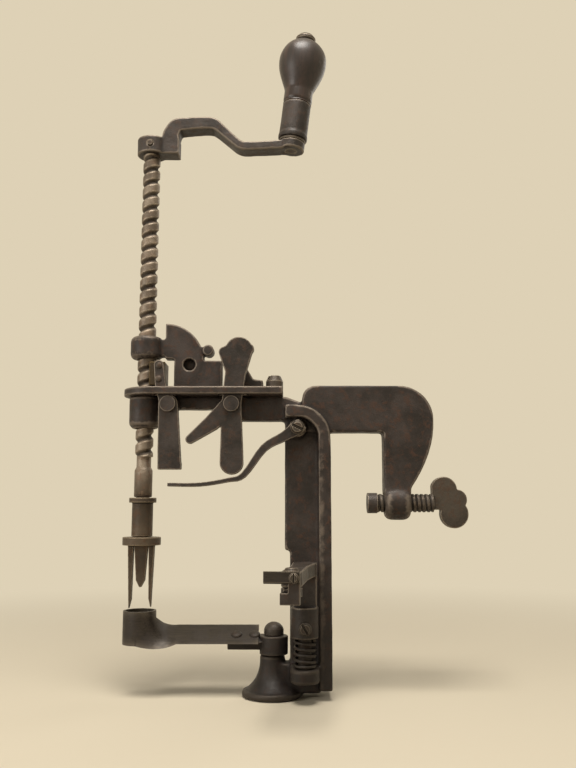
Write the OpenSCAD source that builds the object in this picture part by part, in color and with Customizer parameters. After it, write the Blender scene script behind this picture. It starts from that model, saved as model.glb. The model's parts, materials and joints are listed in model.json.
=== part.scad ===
// Hand-cranked apple peeler, corer and slicer that clamps on a table edge.
// Frame: the origin is on the face of the bar that rests against the table, on the thumb screw's axis.
// +Z runs along the spindle towards the crank, +X points from the bar across the clamp's gap.

/* [Bar] */
// Distance from the table face to the spindle's axis
spindle_reach = 85.5; // [82:0.1:92]
// Width of the bar's web
web_w = 15.1; // [14:0.1:16]
// Thickness of the bar's web
web_t = 7; // [6:0.1:8]
// How far the web's edge steps back below the arm of the paring knife
web_step = 2.3; // [2:0.1:4]
// Height of that step below the thumb screw's axis
web_step_drop = 21; // [15:0.5:24]
// Thickness of the flange that rests on the table
flange_t = 5.5; // [4:0.1:5.8]
// Width of that flange
flange_w = 22; // [18:0.5:22]
// Outer radius of the flange's bend into the headstock arm
flange_bend = 15; // [12:0.5:16]
// Length of the bar below the thumb screw's axis
bar_drop = 84; // [80:0.5:95]

/* [Clamp] */
// Opening of the clamp between the table face and the jaw
clamp_gap = 24.4; // [22:0.1:32]
// Height of the clamp arm's underside above the thumb screw
clamp_rise = 32.1; // [30:0.1:36]
// Height of the clamp arm
clamp_arm_h = 21.5; // [18:0.1:22]
// Thickness of the clamp
clamp_t = 10; // [9:0.1:14]
// Width of the jaw at its root
jaw_root_w = 23.2; // [20:0.1:26]
// Length of the threaded boss
jaw_boss_l = 12.2; // [10:0.1:14]
// Radius of the threaded boss
jaw_boss_r = 7.6; // [7:0.1:9]
// Diameter of the thumb screw
thumb_d = 8.3; // [7:0.1:9]
// Diameter of the thumb screw's pad
pad_d = 9.2; // [8:0.1:12]
// Thickness of the pad
pad_t = 4.6; // [4:0.1:6]
// Free space between the pad and the table face, as it stands
pad_stand = 16.9; // [14:0.1:17.2]
// Length of the thumb screw that shows outside the boss
thumb_out_l = 10.4; // [10:0.1:16]
// Thickness of the thumb screw's wing
wing_t = 4; // [3:0.1:5]
// Radius of the wing's first lobe
wing_lobe_a = 6; // [5:0.1:6.5]
// Radius of the wing's second lobe
wing_lobe_b = 6.4; // [5:0.1:6.6]

/* [Headstock] */
// Height of the headstock arm's underside above the thumb screw
arm_rise = 42.8; // [42:0.1:44]
// Height of the headstock arm
arm_h = 5.8; // [5.4:0.1:6.6]
// Radius of the lower bearing boss
lower_boss_r = 7.3; // [6.8:0.1:8.8]
// Length of the lower bearing boss
lower_boss_h = 15; // [12:0.1:15.5]
// Thickness of the bearing bracket's plate
plate_t = 3.5; // [3:0.1:4]
// Width of the bearing bracket's plate
plate_w = 27; // [26:0.1:30]
// How far the plate reaches past the spindle's axis
plate_nose = 9.7; // [9:0.1:12]
// Clear height between the plate and the upper bearing
nut_space = 14.3; // [13.8:0.1:16]
// Radius of the upper bearing boss
upper_boss_r = 7.5; // [7:0.05:8.5]
// Length of the upper bearing boss
upper_boss_h = 10.8; // [10:0.1:15]
// Radius of the bracket's round gusset
gusset_r = 18; // [16:0.1:18.5]
// Thickness of the gusset
gusset_t = 6; // [4:0.1:7]

/* [Spindle] */
// Diameter of the screw over its crests
screw_d = 8.2; // [7.6:0.1:8.6]
// Pitch of the screw
screw_pitch = 6.5; // [6:0.1:7]
// Depth of the screw's groove
groove_depth = 0.9; // [0.6:0.05:1]
// Share of the pitch that the groove takes
groove_share = 0.42; // [0.35:0.01:0.5]
// Turns of thread on the screw
screw_turns = 22.5; // [20:0.5:24]
// Height of the thread's lower end above the thumb screw
thread_rise = 21; // [20:0.5:23]
// Length of the neck below the thread
neck_l = 5.1; // [4:0.1:6]
// Diameter of that neck
neck_d = 6.6; // [6.2:0.1:7]
// Length of the plain shank below the neck
shank_l = 13.2; // [12:0.1:15]
// Diameter of the journal below the shank
journal_d = 6; // [5:0.1:6]
// Length of the stripper sleeve on the journal
sleeve_l = 17.3; // [14:0.1:20]
// Diameter of the stripper sleeve
sleeve_d = 9.5; // [8.5:0.1:10.5]
// Diameter of the sleeve's collar
collar_d = 12.3; // [11:0.1:13]
// Thickness of the sleeve's collar
collar_t = 2.2; // [1.8:0.1:3]

/* [Fork] */
// Diameter of the fork's flange
fork_flange_d = 17.2; // [15:0.1:17.6]
// Thickness of the fork's flange
fork_flange_t = 3.6; // [3:0.1:4.5]
// Length of the long prong
prong_l = 27.9; // [24:0.1:28]
// Length of the short prong
short_prong_l = 27.4; // [20:0.1:28]
// Distance of the prongs' outer edge from the axis, at the flange
prong_r = 6; // [5.4:0.05:6.1]
// Thickness of a prong
prong_t = 2.6; // [1.8:0.1:2.8]
// Width of a prong
prong_w = 3.6; // [3:0.1:4.2]
// Length of the middle spike
spike_l = 18.5; // [14:0.1:22]
// Width of the middle spike
spike_w = 6.4; // [5:0.1:6.8]

/* [Crank] */
// Distance from the spindle's axis to the handle's foot
crank_r = 68.3; // [62:0.1:75]
// Thickness of the crank's hub
crank_hub_h = 8.2; // [7.6:0.1:11]
// Radius of the crank's hub
crank_hub_r = 7.1; // [6.5:0.1:8]
// Depth of the crank arm, front to back
crank_t = 9; // [8:0.1:12]
// Height of the swan neck's middle over the hub's underside
crank_lift = 15.8; // [15:0.1:20]
// Height of the crank arm at the swan neck
crank_neck_h = 6.1; // [5.4:0.1:7]
// Height of the crank arm at the handle
crank_end_h = 4.4; // [4:0.1:5.6]
// Radius of the eye that holds the handle's pin
crank_eye_r = 6.3; // [5.8:0.1:7]

/* [Handle] */
// Lean of the handle away from the spindle, in degrees
handle_lean = 7.2; // [0:0.1:8]
// Length of the ferrule
ferrule_l = 18.5; // [14:0.1:22]
// Diameter of the ferrule
ferrule_d = 13.7; // [12.6:0.1:14.5]
// Wall of the ferrule
ferrule_wall = 1.2; // [0.8:0.1:1.5]
// Length of the wooden grip above the ferrule
grip_l = 32.9; // [28:0.1:40]
// Greatest diameter of the grip
grip_d = 23.4; // [21:0.1:27]
// Length over which the grip's ball runs out into its neck
grip_taper_l = 16; // [13:0.1:19]
// Diameter of the handle's pin
handle_pin_d = 5; // [4:0.1:5.5]
// Diameter of the pin's head
pin_head_d = 9.9; // [8:0.1:11]
// Height of the pin's head
pin_head_h = 4.4; // [3:0.1:6]

/* [Half nut] */
// Distance from the spindle's axis to the half nut lever's pivot
nut_pivot_out = 12; // [11.4:0.1:12.4]
// Distance from the spindle's axis to the release lever's pivot
release_pivot_out = 40.7; // [40:0.1:42]
// Diameter of the lever pins
lever_pin_d = 4; // [3.5:0.1:4.4]
// Thickness of both levers
lever_t = 3.4; // [2.5:0.1:3.6]
// Distance of the levers' back faces from the middle plane
lever_front = 7.2; // [7.1:0.1:7.6]
// Length of the half nut lever below its pivot
nut_leg_l = 29.5; // [27:0.1:30.4]
// Length of the release lever's leg below its pivot
release_leg_l = 31.8; // [30:0.1:32.4]
// Height of the half nut shoe
shoe_h = 10.8; // [8:0.1:11]
// Play between the shoe's teeth and the screw
shoe_play = 0.3; // [0.25:0.05:0.4]
// Thickness of the leaf spring's root
spring_root_h = 4.4; // [3.5:0.1:5]

/* [Cutter] */
// Distance from the table face to the cutter's post
post_reach = 25.5; // [25:0.1:27]
// Diameter of the post
post_d = 6; // [5:0.1:7]
// Radius of the cutter arm's hub
cutter_hub_r = 6.3; // [5.5:0.1:6.5]
// Height of the cutter arm's hub
cutter_hub_h = 8; // [7.6:0.1:9]
// Inner diameter of the coring ring
ring_d = 12.9; // [12.8:0.05:14]
// Wall of the coring ring and thickness of the blade
blade_t = 0.9; // [0.7:0.05:1.2]
// Height of the coring ring
ring_h = 13.8; // [11:0.1:14.5]
// Width of the slicing blade
blade_w = 15; // [12:0.1:15.5]
// Length of the slicing blade
blade_l = 40; // [36:0.1:42]
// Tilt of the slicing blade across its length, in degrees
blade_tilt = 27; // [20:0.5:30]
// Radius of the bell-shaped foot
foot_r = 13.5; // [11:0.1:14]

/* [Paring arm] */
// Distance from the table face to the paring arm's stud
stud_reach = 12; // [11.8:0.1:13]
// Distance of that stud in front of the bar's middle plane
stud_front = 15; // [14.6:0.1:17]
// Diameter of the stud
stud_d = 5.6; // [5:0.1:6]
// Radius of the arm's hub
paring_hub_r = 5.9; // [5.4:0.1:6.2]
// Height of the stud's bearing in the arm
paring_hub_h = 11; // [10:0.1:14]
// Height of the top of the arm above the hub's underside
paring_arm_rise = 31.6; // [29:0.1:36]
// Reach of the arm from the stud to the knife head's pivot
paring_reach = 48; // [42:0.1:52]
// Direction in which the arm stands, in degrees from +X
paring_angle = -97; // [-104:0.5:-91]
// Height of the arm's reaching bar
paring_bar_h = 5.8; // [5:0.1:7]
// Room for the coil spring under the arm's hub
coil_room = 12.4; // [12:0.1:16]
// Diameter of the coil spring's wire
coil_wire = 1.4; // [1.2:0.1:1.6]
// Curls of the coil spring
coil_curls = 5; // [3:1:5]
// Length of the paring blade
paring_blade_l = 12.5; // [10:0.1:14]

/* [Fits] */
// Play of a running pin in its bore, on the radius
running_play = 0.04; // [0.03:0.01:0.08]
// Play of a fixed pin in its hole, on the radius
fixed_play = 0.01; // [0.01:0.01:0.03]
// Play of the screw in its plain bearings, on the radius
bearing_play = 0.35; // [0.3:0.05:0.5]
// Gap between faces that slide past each other
face_gap = 0.3; // [0.2:0.05:0.4]

/* [Hidden] */
$fn = 64;

iron = "#3b3029";
dark_iron = "#2e2622";
steel = "#7b7168";
blade_steel = "#8d877c";
wood = "#3a2420";
brass = "#7a6540";

spindle_x = -spindle_reach;
web_left = -flange_t - web_w;
web_front = -web_t / 2;
arm_top = arm_rise + arm_h;
plate_top = arm_top + plate_t;
upper_boss_z = plate_top + nut_space;
bar_bottom = -bar_drop;

// Extrudes a profile drawn in X and Z between two values of Y
module slab(y0, y1) {
  translate([0, y1, 0]) rotate([90, 0, 0]) linear_extrude(y1 - y0) children();
}

// A round rod along Y at the given X and Z
module rod_y(x, z, y0, y1, r) {
  translate([x, y0, z]) rotate([-90, 0, 0]) cylinder(r = r, h = y1 - y0);
}

// A round rod along X at the given height
module rod_x(x0, x1, r) {
  translate([x0, 0, 0]) rotate([0, 90, 0]) cylinder(r = r, h = x1 - x0);
}

// A flat bar with round ends that follows a list of points, with a width at each point
module ribbon(points, widths) {
  for (i = [0 : len(points) - 1]) {
    translate(points[i]) circle(d = widths[i]);
  }
  for (i = [0 : len(points) - 2]) {
    step = points[i + 1] - points[i];
    side = [-step[1], step[0]] / norm(step) / 2;
    polygon([
      points[i] + side * widths[i], points[i] - side * widths[i],
      points[i + 1] - side * widths[i + 1], points[i + 1] + side * widths[i + 1]
    ]);
  }
}

// A point on the smooth curve through a list of knots, between knot i and the next
function curve_point(knots, i, t) =
  let (
    last = len(knots) - 1,
    a = knots[max(i - 1, 0)], b = knots[i], c = knots[i + 1], d = knots[min(i + 2, last)]
  )
  (2 * b + (c - a) * t + (2 * a - 5 * b + 4 * c - d) * t * t + (3 * b - a - 3 * c + d) * t * t * t) / 2;

// Knots joined by smooth curves, with some steps between each two
function smooth_line(knots, steps) = [
  for (i = [0 : len(knots) - 2], k = [0 : steps - 1]) curve_point(knots, i, k / steps),
  knots[len(knots) - 1]
];

// A bent bar with flat ends through knots of X, Z and width
module bent_bar(knots, steps) {
  line = smooth_line(knots, steps);
  last = len(line) - 1;
  sides = [for (i = [0 : last])
    let (step = line[min(i + 1, last)] - line[max(i - 1, 0)], across = [-step[1], step[0]])
    across / norm(across) * line[i][2] / 2];
  middle = [for (p = line) [p[0], p[1]]];
  polygon(concat(middle + sides, [for (i = [last : -1 : 0]) middle[i] - sides[i]]));
}

// A round boss with rounded rims
module barrel(r, h, rim) {
  lower = [for (a = [-90 : 30 : 0]) [r - rim, rim] + rim * [cos(a), sin(a)]];
  upper = [for (a = [0 : 30 : 90]) [r - rim, h - rim] + rim * [cos(a), sin(a)]];
  rotate_extrude() polygon(concat([[0, 0]], lower, upper, [[0, h]]));
}

// A slotted round screw head with its flat underside at z = 0
module slotted_head(d, h, slot_w, slot_depth) {
  difference() {
    union() {
      cylinder(d = d, h = h * 0.6);
      translate([0, 0, h * 0.6]) cylinder(d1 = d, d2 = d * 0.7, h = h * 0.4);
    }
    translate([-d, -slot_w / 2, h - slot_depth]) cube([2 * d, slot_w, h]);
  }
}

// Frame casting: bar, clamp, headstock arm, lower bearing and foot

jaw_inner = clamp_gap;
jaw_outer = clamp_gap + jaw_root_w;
clamp_top = clamp_rise + clamp_arm_h;
clamp_corner_r = 15.6;
clamp_left = -12.7;
clamp_left_r = 6;
jaw_boss_rim = 3;
thumb_bore_r = thumb_d / 2 + bearing_play;

foot_x = -26;
foot_neck_r = 5.6;
foot_flare = 3;
foot_base_t = 3;
foot_h = 17.5;
foot_top = bar_bottom + foot_h;
foot_curve_steps = 6;
post_x = -post_reach;
stud_x = -stud_reach;
stud_y = -stud_front;
lug_t = 6;
lug_bottom = bar_bottom + 8.5;
lug_top = lug_bottom + lug_t;
lug_r = 6.2;

lever_back = -lever_front;
lever_face = -lever_front - lever_t;
pivot_boss_r = 4.2;
pivot_z = arm_top - pivot_boss_r - 0.1;
nut_pivot = [spindle_x + nut_pivot_out, pivot_z];
release_pivot = [spindle_x + release_pivot_out, pivot_z];
spring_seat = [-flange_bend, arm_rise - 9.2];
spring_boss_r = 4.2;
spring_screw_d = 2.6;
spring_head_d = 6.2;
bracket_screw_x = release_pivot[0] + 19.3;
bracket_screw_d = 4;

// The clamp's side as one outline: arm, big outer corner and a jaw that tapers to the screw's boss
module clamp_profile() {
  corner = [jaw_outer - clamp_corner_r, clamp_top - clamp_corner_r];
  jaw_end = [jaw_inner + jaw_boss_l, jaw_boss_r - 1];
  cheek = [jaw_outer, (corner[1] + jaw_end[1]) / 2];
  polygon(concat(
    [[clamp_left, clamp_rise], [jaw_inner, clamp_rise], [jaw_inner, 0], [jaw_end[0], 0]],
    [for (t = [0 : 0.125 : 1])
      jaw_end * pow(1 - t, 2) + cheek * 2 * t * (1 - t) + [jaw_outer, corner[1]] * t * t],
    [for (a = [7.5 : 7.5 : 90]) corner + clamp_corner_r * [cos(a), sin(a)]],
    [for (a = [90 : 15 : 180])
      [clamp_left + clamp_left_r, clamp_top - clamp_left_r] + clamp_left_r * [cos(a), sin(a)]]));
}

module flange_profile() {
  centre = [-flange_bend, arm_rise + 1.2 - flange_bend];
  run = 5.5;
  translate([-flange_t, bar_bottom + 4]) square([flange_t, centre[1] - bar_bottom - 4]);
  translate([centre[0] - run, centre[1] + flange_bend - flange_t]) square([run, flange_t]);
  intersection() {
    difference() {
      translate(centre) circle(r = flange_bend);
      translate(centre) circle(r = flange_bend - flange_t);
    }
    translate(centre) square(flange_bend);
  }
}

// Side of the headstock arm, deeper from the release lever to the bar
module headstock_profile() {
  rib_drop = 5.4;
  rib_left = release_pivot[0] - 2;
  shoulder_left = plate_right + 1.5;
  shoulder_drop = 3.6;
  right = clamp_left + 2;
  polygon([
    [spindle_x, arm_rise], [rib_left, arm_rise], [rib_left + rib_drop, arm_rise - rib_drop],
    [right, arm_rise - rib_drop], [right, arm_top - shoulder_drop], [shoulder_left, arm_top],
    [spindle_x, arm_top]
  ]);
}

module foot_bell() {
  rise = foot_h - foot_base_t;
  base_z = bar_bottom + foot_base_t;
  points = [for (i = [0 : foot_curve_steps])
    let (t = i / foot_curve_steps)
    [foot_neck_r + (foot_r - 1.6 - foot_neck_r) * pow(1 - t, foot_flare), base_z + rise * t]];
  translate([foot_x, 0, 0]) rotate_extrude()
    polygon(concat([[0, bar_bottom], [foot_r, bar_bottom], [foot_r, base_z]], points,
      [[0, foot_top]]));
}

module frame_casting() color(iron) {
  boss_chamfer = 2.1;
  web_bottom = bar_bottom + 2;
  difference() {
    union() {
      // Web of the bar, narrower below its step
      translate([web_left, web_front, -web_step_drop]) cube([web_w + 1, web_t, web_step_drop + arm_rise + 1]);
      translate([web_left + web_step, web_front, web_bottom])
        cube([web_w - web_step + 1, web_t, -web_step_drop - web_bottom + 1]);
      slab(-flange_w / 2, flange_w / 2) flange_profile();
      slab(-clamp_t / 2, clamp_t / 2) clamp_profile();
      translate([jaw_inner, 0, 0]) rotate([0, 90, 0]) barrel(jaw_boss_r, jaw_boss_l, jaw_boss_rim);
      // Headstock arm with the lower bearing
      slab(web_front, -web_front) headstock_profile();
      translate([spindle_x, 0, arm_top - lower_boss_h + boss_chamfer])
        cylinder(r = lower_boss_r, h = lower_boss_h - boss_chamfer);
      translate([spindle_x, 0, arm_top - lower_boss_h])
        cylinder(r1 = lower_boss_r - boss_chamfer, r2 = lower_boss_r, h = boss_chamfer);
      for (pivot = [nut_pivot, release_pivot]) {
        rod_y(pivot[0], pivot[1], lever_back + face_gap, 0, pivot_boss_r);
      }
      rod_y(spring_seat[0], spring_seat[1], lever_back, 0, spring_boss_r);
      // Foot, with the lug for the paring arm's stud in front
      foot_bell();
      translate([foot_x, -clamp_t / 2, bar_bottom + 2]) cube([-foot_x - flange_t, clamp_t, foot_h - 5]);
      translate([stud_x, stud_y, lug_bottom]) cylinder(r = lug_r, h = lug_t);
      translate([stud_x - lug_r, stud_y, lug_bottom]) cube([2 * lug_r, stud_front, lug_t]);
    }
    translate([spindle_x, 0, arm_top - lower_boss_h - 1])
      cylinder(d = screw_d + 2 * bearing_play, h = lower_boss_h + 2);
    rod_x(jaw_inner - 1, jaw_inner + jaw_boss_l + 1, thumb_bore_r);
    for (pivot = [nut_pivot, release_pivot]) {
      rod_y(pivot[0], pivot[1], lever_back - 1, web_t, lever_pin_d / 2 + fixed_play);
    }
    rod_y(spring_seat[0], spring_seat[1], lever_back - 1, web_t, spring_screw_d / 2 + fixed_play);
    translate([bracket_screw_x, 0, arm_rise - 1])
      cylinder(d = bracket_screw_d + 2 * fixed_play, h = arm_h + 2);
    translate([post_x, 0, bar_bottom - 1]) cylinder(d = post_d + 2 * fixed_play, h = foot_h + 2);
    translate([stud_x, stud_y, lug_bottom - 1]) cylinder(d = stud_d + 2 * fixed_play, h = lug_t + 2);
  }
}

// Bearing bracket: the plate on the headstock arm, the upper bearing and its gusset

gusset_left = spindle_x + 9.1;
gusset_cut = spindle_x + 13.3;
gusset_lift = 6;
plate_right = bracket_screw_x + 4;
lever_slot_play = 0.5;

module lever_slot(x0, x1) {
  translate([x0, lever_face - lever_slot_play, arm_top - 1])
    cube([x1 - x0, lever_t + 2 * lever_slot_play, plate_t + 2]);
}

// The release lever's stop: upright beside the lever, low towards the screw
module stop_profile() {
  upright = [2, 11];
  toe = [10, 4.4];
  translate([release_pivot[0] + 4, plate_top]) polygon([
    [0, -1], [0, upright[1]], upright, [toe[0] * 0.54, toe[1] + 0.6], toe, [toe[0], -1]
  ]);
}

module bearing_bracket() color(dark_iron) {
  nose = [spindle_x - plate_nose + plate_w / 2, 0];
  gusset_z = upper_boss_z + upper_boss_h + gusset_lift - gusset_r;
  neck_h = 8;
  neck_z = upper_boss_z + upper_boss_h - neck_h - 1.5;
  knuckle = [gusset_left + gusset_r + 2, upper_boss_z + 4];
  knuckle_r = 2.6;
  upper_boss_rim = 2.4;
  skirt_right = release_pivot[0] - 5;
  skirt_h = 13.5;
  dimple_r = 2.8;
  dimple_back = 0.6;
  difference() {
    union() {
      translate([0, 0, arm_top]) linear_extrude(plate_t) union() {
        translate(nose) circle(d = plate_w);
        translate([nose[0], -plate_w / 2]) square([plate_right - nose[0], plate_w]);
      }
      translate([spindle_x, 0, upper_boss_z]) barrel(upper_boss_r, upper_boss_h, upper_boss_rim);
      slab(-gusset_t / 2, gusset_t / 2) {
        intersection() {
          translate([gusset_left, gusset_z]) circle(r = gusset_r);
          translate([gusset_left, gusset_z]) square(gusset_r);
        }
        translate([gusset_cut, plate_top - 1])
          square([gusset_left + gusset_r - gusset_cut, gusset_z - plate_top + 1.5]);
        translate([spindle_x, neck_z]) square([gusset_left - spindle_x + 1, neck_h]);
        translate([gusset_left + gusset_r - 3, plate_top - 1])
          square([skirt_right - gusset_left - gusset_r + 3, skirt_h + 1]);
        translate([gusset_left + gusset_r - 3, knuckle[1] - 1.6]) square([4, 3.2]);
      }
      rod_y(knuckle[0], knuckle[1], -gusset_t / 2 - 1, gusset_t / 2 + 1, knuckle_r);
      slab(-2, 6) stop_profile();
    }
    translate([gusset_left - 1, -gusset_t, plate_top])
      cube([gusset_cut - gusset_left + 1, 2 * gusset_t, nut_space]);
    translate([spindle_x, 0, arm_top - 1])
      cylinder(d = screw_d + 2 * bearing_play, h = plate_t + nut_space + upper_boss_h + 3);
    rod_y(gusset_left + gusset_r * 0.63, gusset_z - 1.5, -gusset_t, dimple_back, dimple_r);
    lever_slot(shoe_right - 4.6, nut_pivot[0] + 4);
    lever_slot(release_pivot[0] - 6.2, release_pivot[0] + 7.6);
    translate([bracket_screw_x, 0, arm_top - 1])
      cylinder(d = bracket_screw_d + 2 * fixed_play, h = plate_t + 2);
  }
}

module bracket_screw() color(steel) {
  head_d = 8;
  head_h = 6.6;
  translate([bracket_screw_x, 0, plate_top]) rotate([0, 0, 35]) slotted_head(head_d, head_h, 1.4, 1.8);
  translate([bracket_screw_x, 0, arm_rise]) cylinder(d = bracket_screw_d, h = arm_h + plate_t);
}

// Half nut latch

lever_head_t = 1.6;
lever_head_d = 7.2;

module lever_pin(pivot) {
  rod_y(pivot[0], pivot[1], lever_face - face_gap, web_t / 2, lever_pin_d / 2);
  rod_y(pivot[0], pivot[1], lever_face - face_gap - lever_head_t, lever_face - face_gap, lever_head_d / 2);
}

module half_nut_pin() color(steel) lever_pin(nut_pivot);

module release_pin() color(steel) lever_pin(release_pivot);

shoe_z = plate_top + 1.4;
shoe_right = spindle_x + 9.7;
shoe_left = spindle_x + 2.6;
shoe_back = 4.5;
nut_leg_w = 10.6;
nut_neck_w = 8.8;
finger_tip_r = 2;
finger_gap = 2.6;
finger_drop = 16;
nut_leg_lean = 1.2;

nut_leg_foot = nut_pivot + [nut_leg_lean, 1 - nut_leg_l];

module half_nut_lever() color(dark_iron) difference() {
  arm_top_point = [shoe_right - 2.3, shoe_z + shoe_h - 2];
  slab(lever_face, lever_back) difference() {
    union() {
      ribbon([nut_pivot, nut_leg_foot], [nut_neck_w, nut_leg_w]);
      ribbon([nut_pivot, [shoe_right - 1.2, plate_top], arm_top_point], [7.4, 5, 4.4]);
      translate(nut_leg_foot - [nut_leg_w / 2, 1]) square([nut_leg_w, 3]);
    }
    translate(nut_leg_foot - [nut_leg_w, 1 + nut_leg_w]) square([2 * nut_leg_w, nut_leg_w]);
  }
  rod_y(nut_pivot[0], nut_pivot[1], lever_face - 1, lever_back + 1, lever_pin_d / 2 + running_play);
  for (z = shoe_rivet_heights) {
    rod_y(shoe_rivet_x, z, lever_face - 1, lever_back + 1, shoe_rivet_d / 2 + fixed_play);
  }
}

shoe_rivet_d = 1.8;
shoe_rivet_x = shoe_right - 2.2;
shoe_rivet_heights = [shoe_z + 2.2, shoe_z + shoe_h - 2.4];
shoe_rivet_depth = 2.6;

module half_nut_shoe() color(brass) {
  over = 0.5;
  difference() {
    translate([shoe_left, lever_back, shoe_z]) cube([shoe_right - shoe_left, shoe_back - lever_back, shoe_h]);
    translate([spindle_x, 0, shoe_z - over]) screw_thread(shoe_z - over, shoe_h + 2 * over, shoe_play, 24);
    for (z = shoe_rivet_heights) {
      rod_y(shoe_rivet_x, z, lever_back - 1, lever_back + shoe_rivet_depth, shoe_rivet_d / 2 + fixed_play);
    }
  }
}

module shoe_rivets() color(steel) for (z = shoe_rivet_heights) {
  rod_y(shoe_rivet_x, z, lever_face, lever_back + shoe_rivet_depth, shoe_rivet_d / 2);
  rod_y(shoe_rivet_x, z, lever_face - 0.7, lever_face, shoe_rivet_d * 0.85);
}

release_leg_w = 10.6;

module release_lever() color(dark_iron) difference() {
  leg_foot = release_pivot + [0.3, release_leg_w / 2 - release_leg_l];
  share = finger_drop / (nut_leg_l - 1);
  leg_w = nut_neck_w + (nut_leg_w - nut_neck_w) * share;
  leg_edge = nut_pivot[0] + nut_leg_lean * share + leg_w / 2;
  finger_tip = [leg_edge + finger_gap + finger_tip_r, nut_pivot[1] - finger_drop];
  finger_root = release_pivot + [-8.6, -8.4];
  stem = [release_pivot[0] + 1.6, plate_top + 6];
  head = [release_pivot[0] + 3.2, plate_top + 17];
  beak = head + [4.4, 0.6];
  nape = head + [-6.8, -0.9];
  slab(lever_face, lever_back) {
    ribbon([release_pivot, leg_foot], [9, release_leg_w]);
    ribbon([release_pivot, finger_root, finger_tip], [9, 7.4, 2 * finger_tip_r]);
    ribbon([release_pivot, stem, head], [9, 9.4, 12.4]);
    ribbon([head, beak], [8, 5]);
    ribbon([stem, nape, head], [8, 5, 11]);
  }
  rod_y(release_pivot[0], release_pivot[1], lever_face - 1, lever_back + 1, lever_pin_d / 2 + running_play);
}

// Knots of the leaf spring: its root on the seat, past the release lever's heel, then a thin tail
spring_root_l = 2.9;
spring_eye_w = spring_root_h + 2.2;
spring_leg_gap = 9.2;
spring_heel_r = release_leg_w / 2 + 2.4;
spring_tail_drop = 4.4;
spring_tail_l = 28.5;
spring_tail_h = 1.6;
spring_heel = release_pivot + [0.3, -release_leg_l];
spring_heel_mid = spring_heel + [0, release_leg_w / 2];
spring_knots = [
  [spring_seat[0] + spring_root_l * 0.79, spring_seat[1] + spring_root_l * 0.61, spring_eye_w * 0.78],
  [spring_seat[0], spring_seat[1], spring_eye_w],
  [spring_seat[0] - spring_eye_w * 0.9, spring_seat[1] - spring_eye_w * 0.6, spring_root_h],
  [
    spring_heel[0] + release_leg_w / 2 + spring_leg_gap,
    spring_seat[1] - 1.4 * spring_eye_w,
    spring_root_h * 0.8
  ],
  [spring_heel_mid[0] + spring_heel_r * 0.71, spring_heel_mid[1] - spring_heel_r * 0.71, spring_root_h * 0.6],
  [spring_heel_mid[0] - 1.5, spring_heel_mid[1] - spring_heel_r, spring_root_h * 0.45],
  [spring_heel[0] - spring_tail_l * 0.5, spring_heel[1] - spring_tail_drop, spring_tail_h + 0.2],
  [spring_heel[0] - spring_tail_l, spring_heel[1] - spring_tail_drop, spring_tail_h]
];

module latch_spring() color(steel) difference() {
  slab(lever_face, lever_back) bent_bar(spring_knots, 4);
  rod_y(spring_seat[0], spring_seat[1], lever_face - 1, lever_back + 1, spring_screw_d / 2 + fixed_play);
}

module spring_screw() color(steel) {
  rod_y(spring_seat[0], spring_seat[1], lever_face, web_t / 2, spring_screw_d / 2);
  translate([spring_seat[0], lever_face, spring_seat[1]]) rotate([90, 25, 0])
    slotted_head(spring_head_d, 2.6, 1.2, 1);
}

// Spindle: screw, stripper sleeve and fork

thread_top = thread_rise + screw_turns * screw_pitch;
shank_top = thread_rise - neck_l;
shank_bottom = shank_top - shank_l;
sleeve_top = shank_bottom - face_gap;
sleeve_bottom = sleeve_top - sleeve_l;
fork_top = sleeve_bottom - face_gap;
fork_bottom = fork_top - fork_flange_t;
crank_tenon_d = 6.4;

// Radius of the screw at a share of one turn, with the groove in the middle of the turn
function screw_radius(share) =
  let (off = abs(share - 0.5) / (groove_share / 2))
  screw_d / 2 - (off < 1 ? groove_depth * (0.5 + 0.5 * cos(180 * off)) : 0);

// The screw's body over a stretch of its length, grown by some play
module screw_thread(z, h, play, slices_per_turn) {
  sides = 14;
  outline = [for (i = [0 : sides - 1])
    let (share = i / sides)
    (screw_radius(share) + play) * [cos(360 * share), sin(360 * share)]];
  turns = h / screw_pitch;
  rotate([0, 0, 360 * (z - thread_rise) / screw_pitch])
    linear_extrude(height = h, twist = -360 * turns, slices = ceil(turns * slices_per_turn), segments = sides)
      polygon(outline);
}

module lead_screw() color(steel) translate([spindle_x, 0, 0]) {
  translate([0, 0, thread_rise]) screw_thread(thread_rise, screw_turns * screw_pitch, 0, 12);
  translate([0, 0, shank_top]) cylinder(d = neck_d, h = neck_l + 0.5);
  translate([0, 0, shank_bottom]) cylinder(d = screw_d, h = shank_l);
  translate([0, 0, fork_bottom]) cylinder(d = journal_d, h = shank_bottom - fork_bottom + 0.5);
  translate([0, 0, thread_top - 0.5]) cylinder(d = crank_tenon_d, h = crank_hub_h + 0.5);
}

module stripper_sleeve() color(steel) translate([spindle_x, 0, 0]) difference() {
  union() {
    translate([0, 0, sleeve_bottom]) cylinder(d = sleeve_d, h = sleeve_l);
    translate([0, 0, sleeve_top - collar_t]) cylinder(d = collar_d, h = collar_t);
  }
  translate([0, 0, sleeve_bottom - 1]) cylinder(d = journal_d + 2 * running_play, h = sleeve_l + 2);
}

// A flat prong on the +X side that leans in towards its point
module prong(length) {
  lean = 1.1;
  tip = 1;
  slab(-prong_w / 2, prong_w / 2) polygon([
    [prong_r - prong_t, fork_bottom + 1], [prong_r, fork_bottom + 1],
    [prong_r - lean, fork_bottom - length], [prong_r - lean - tip, fork_bottom - length + 4]
  ]);
}

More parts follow.
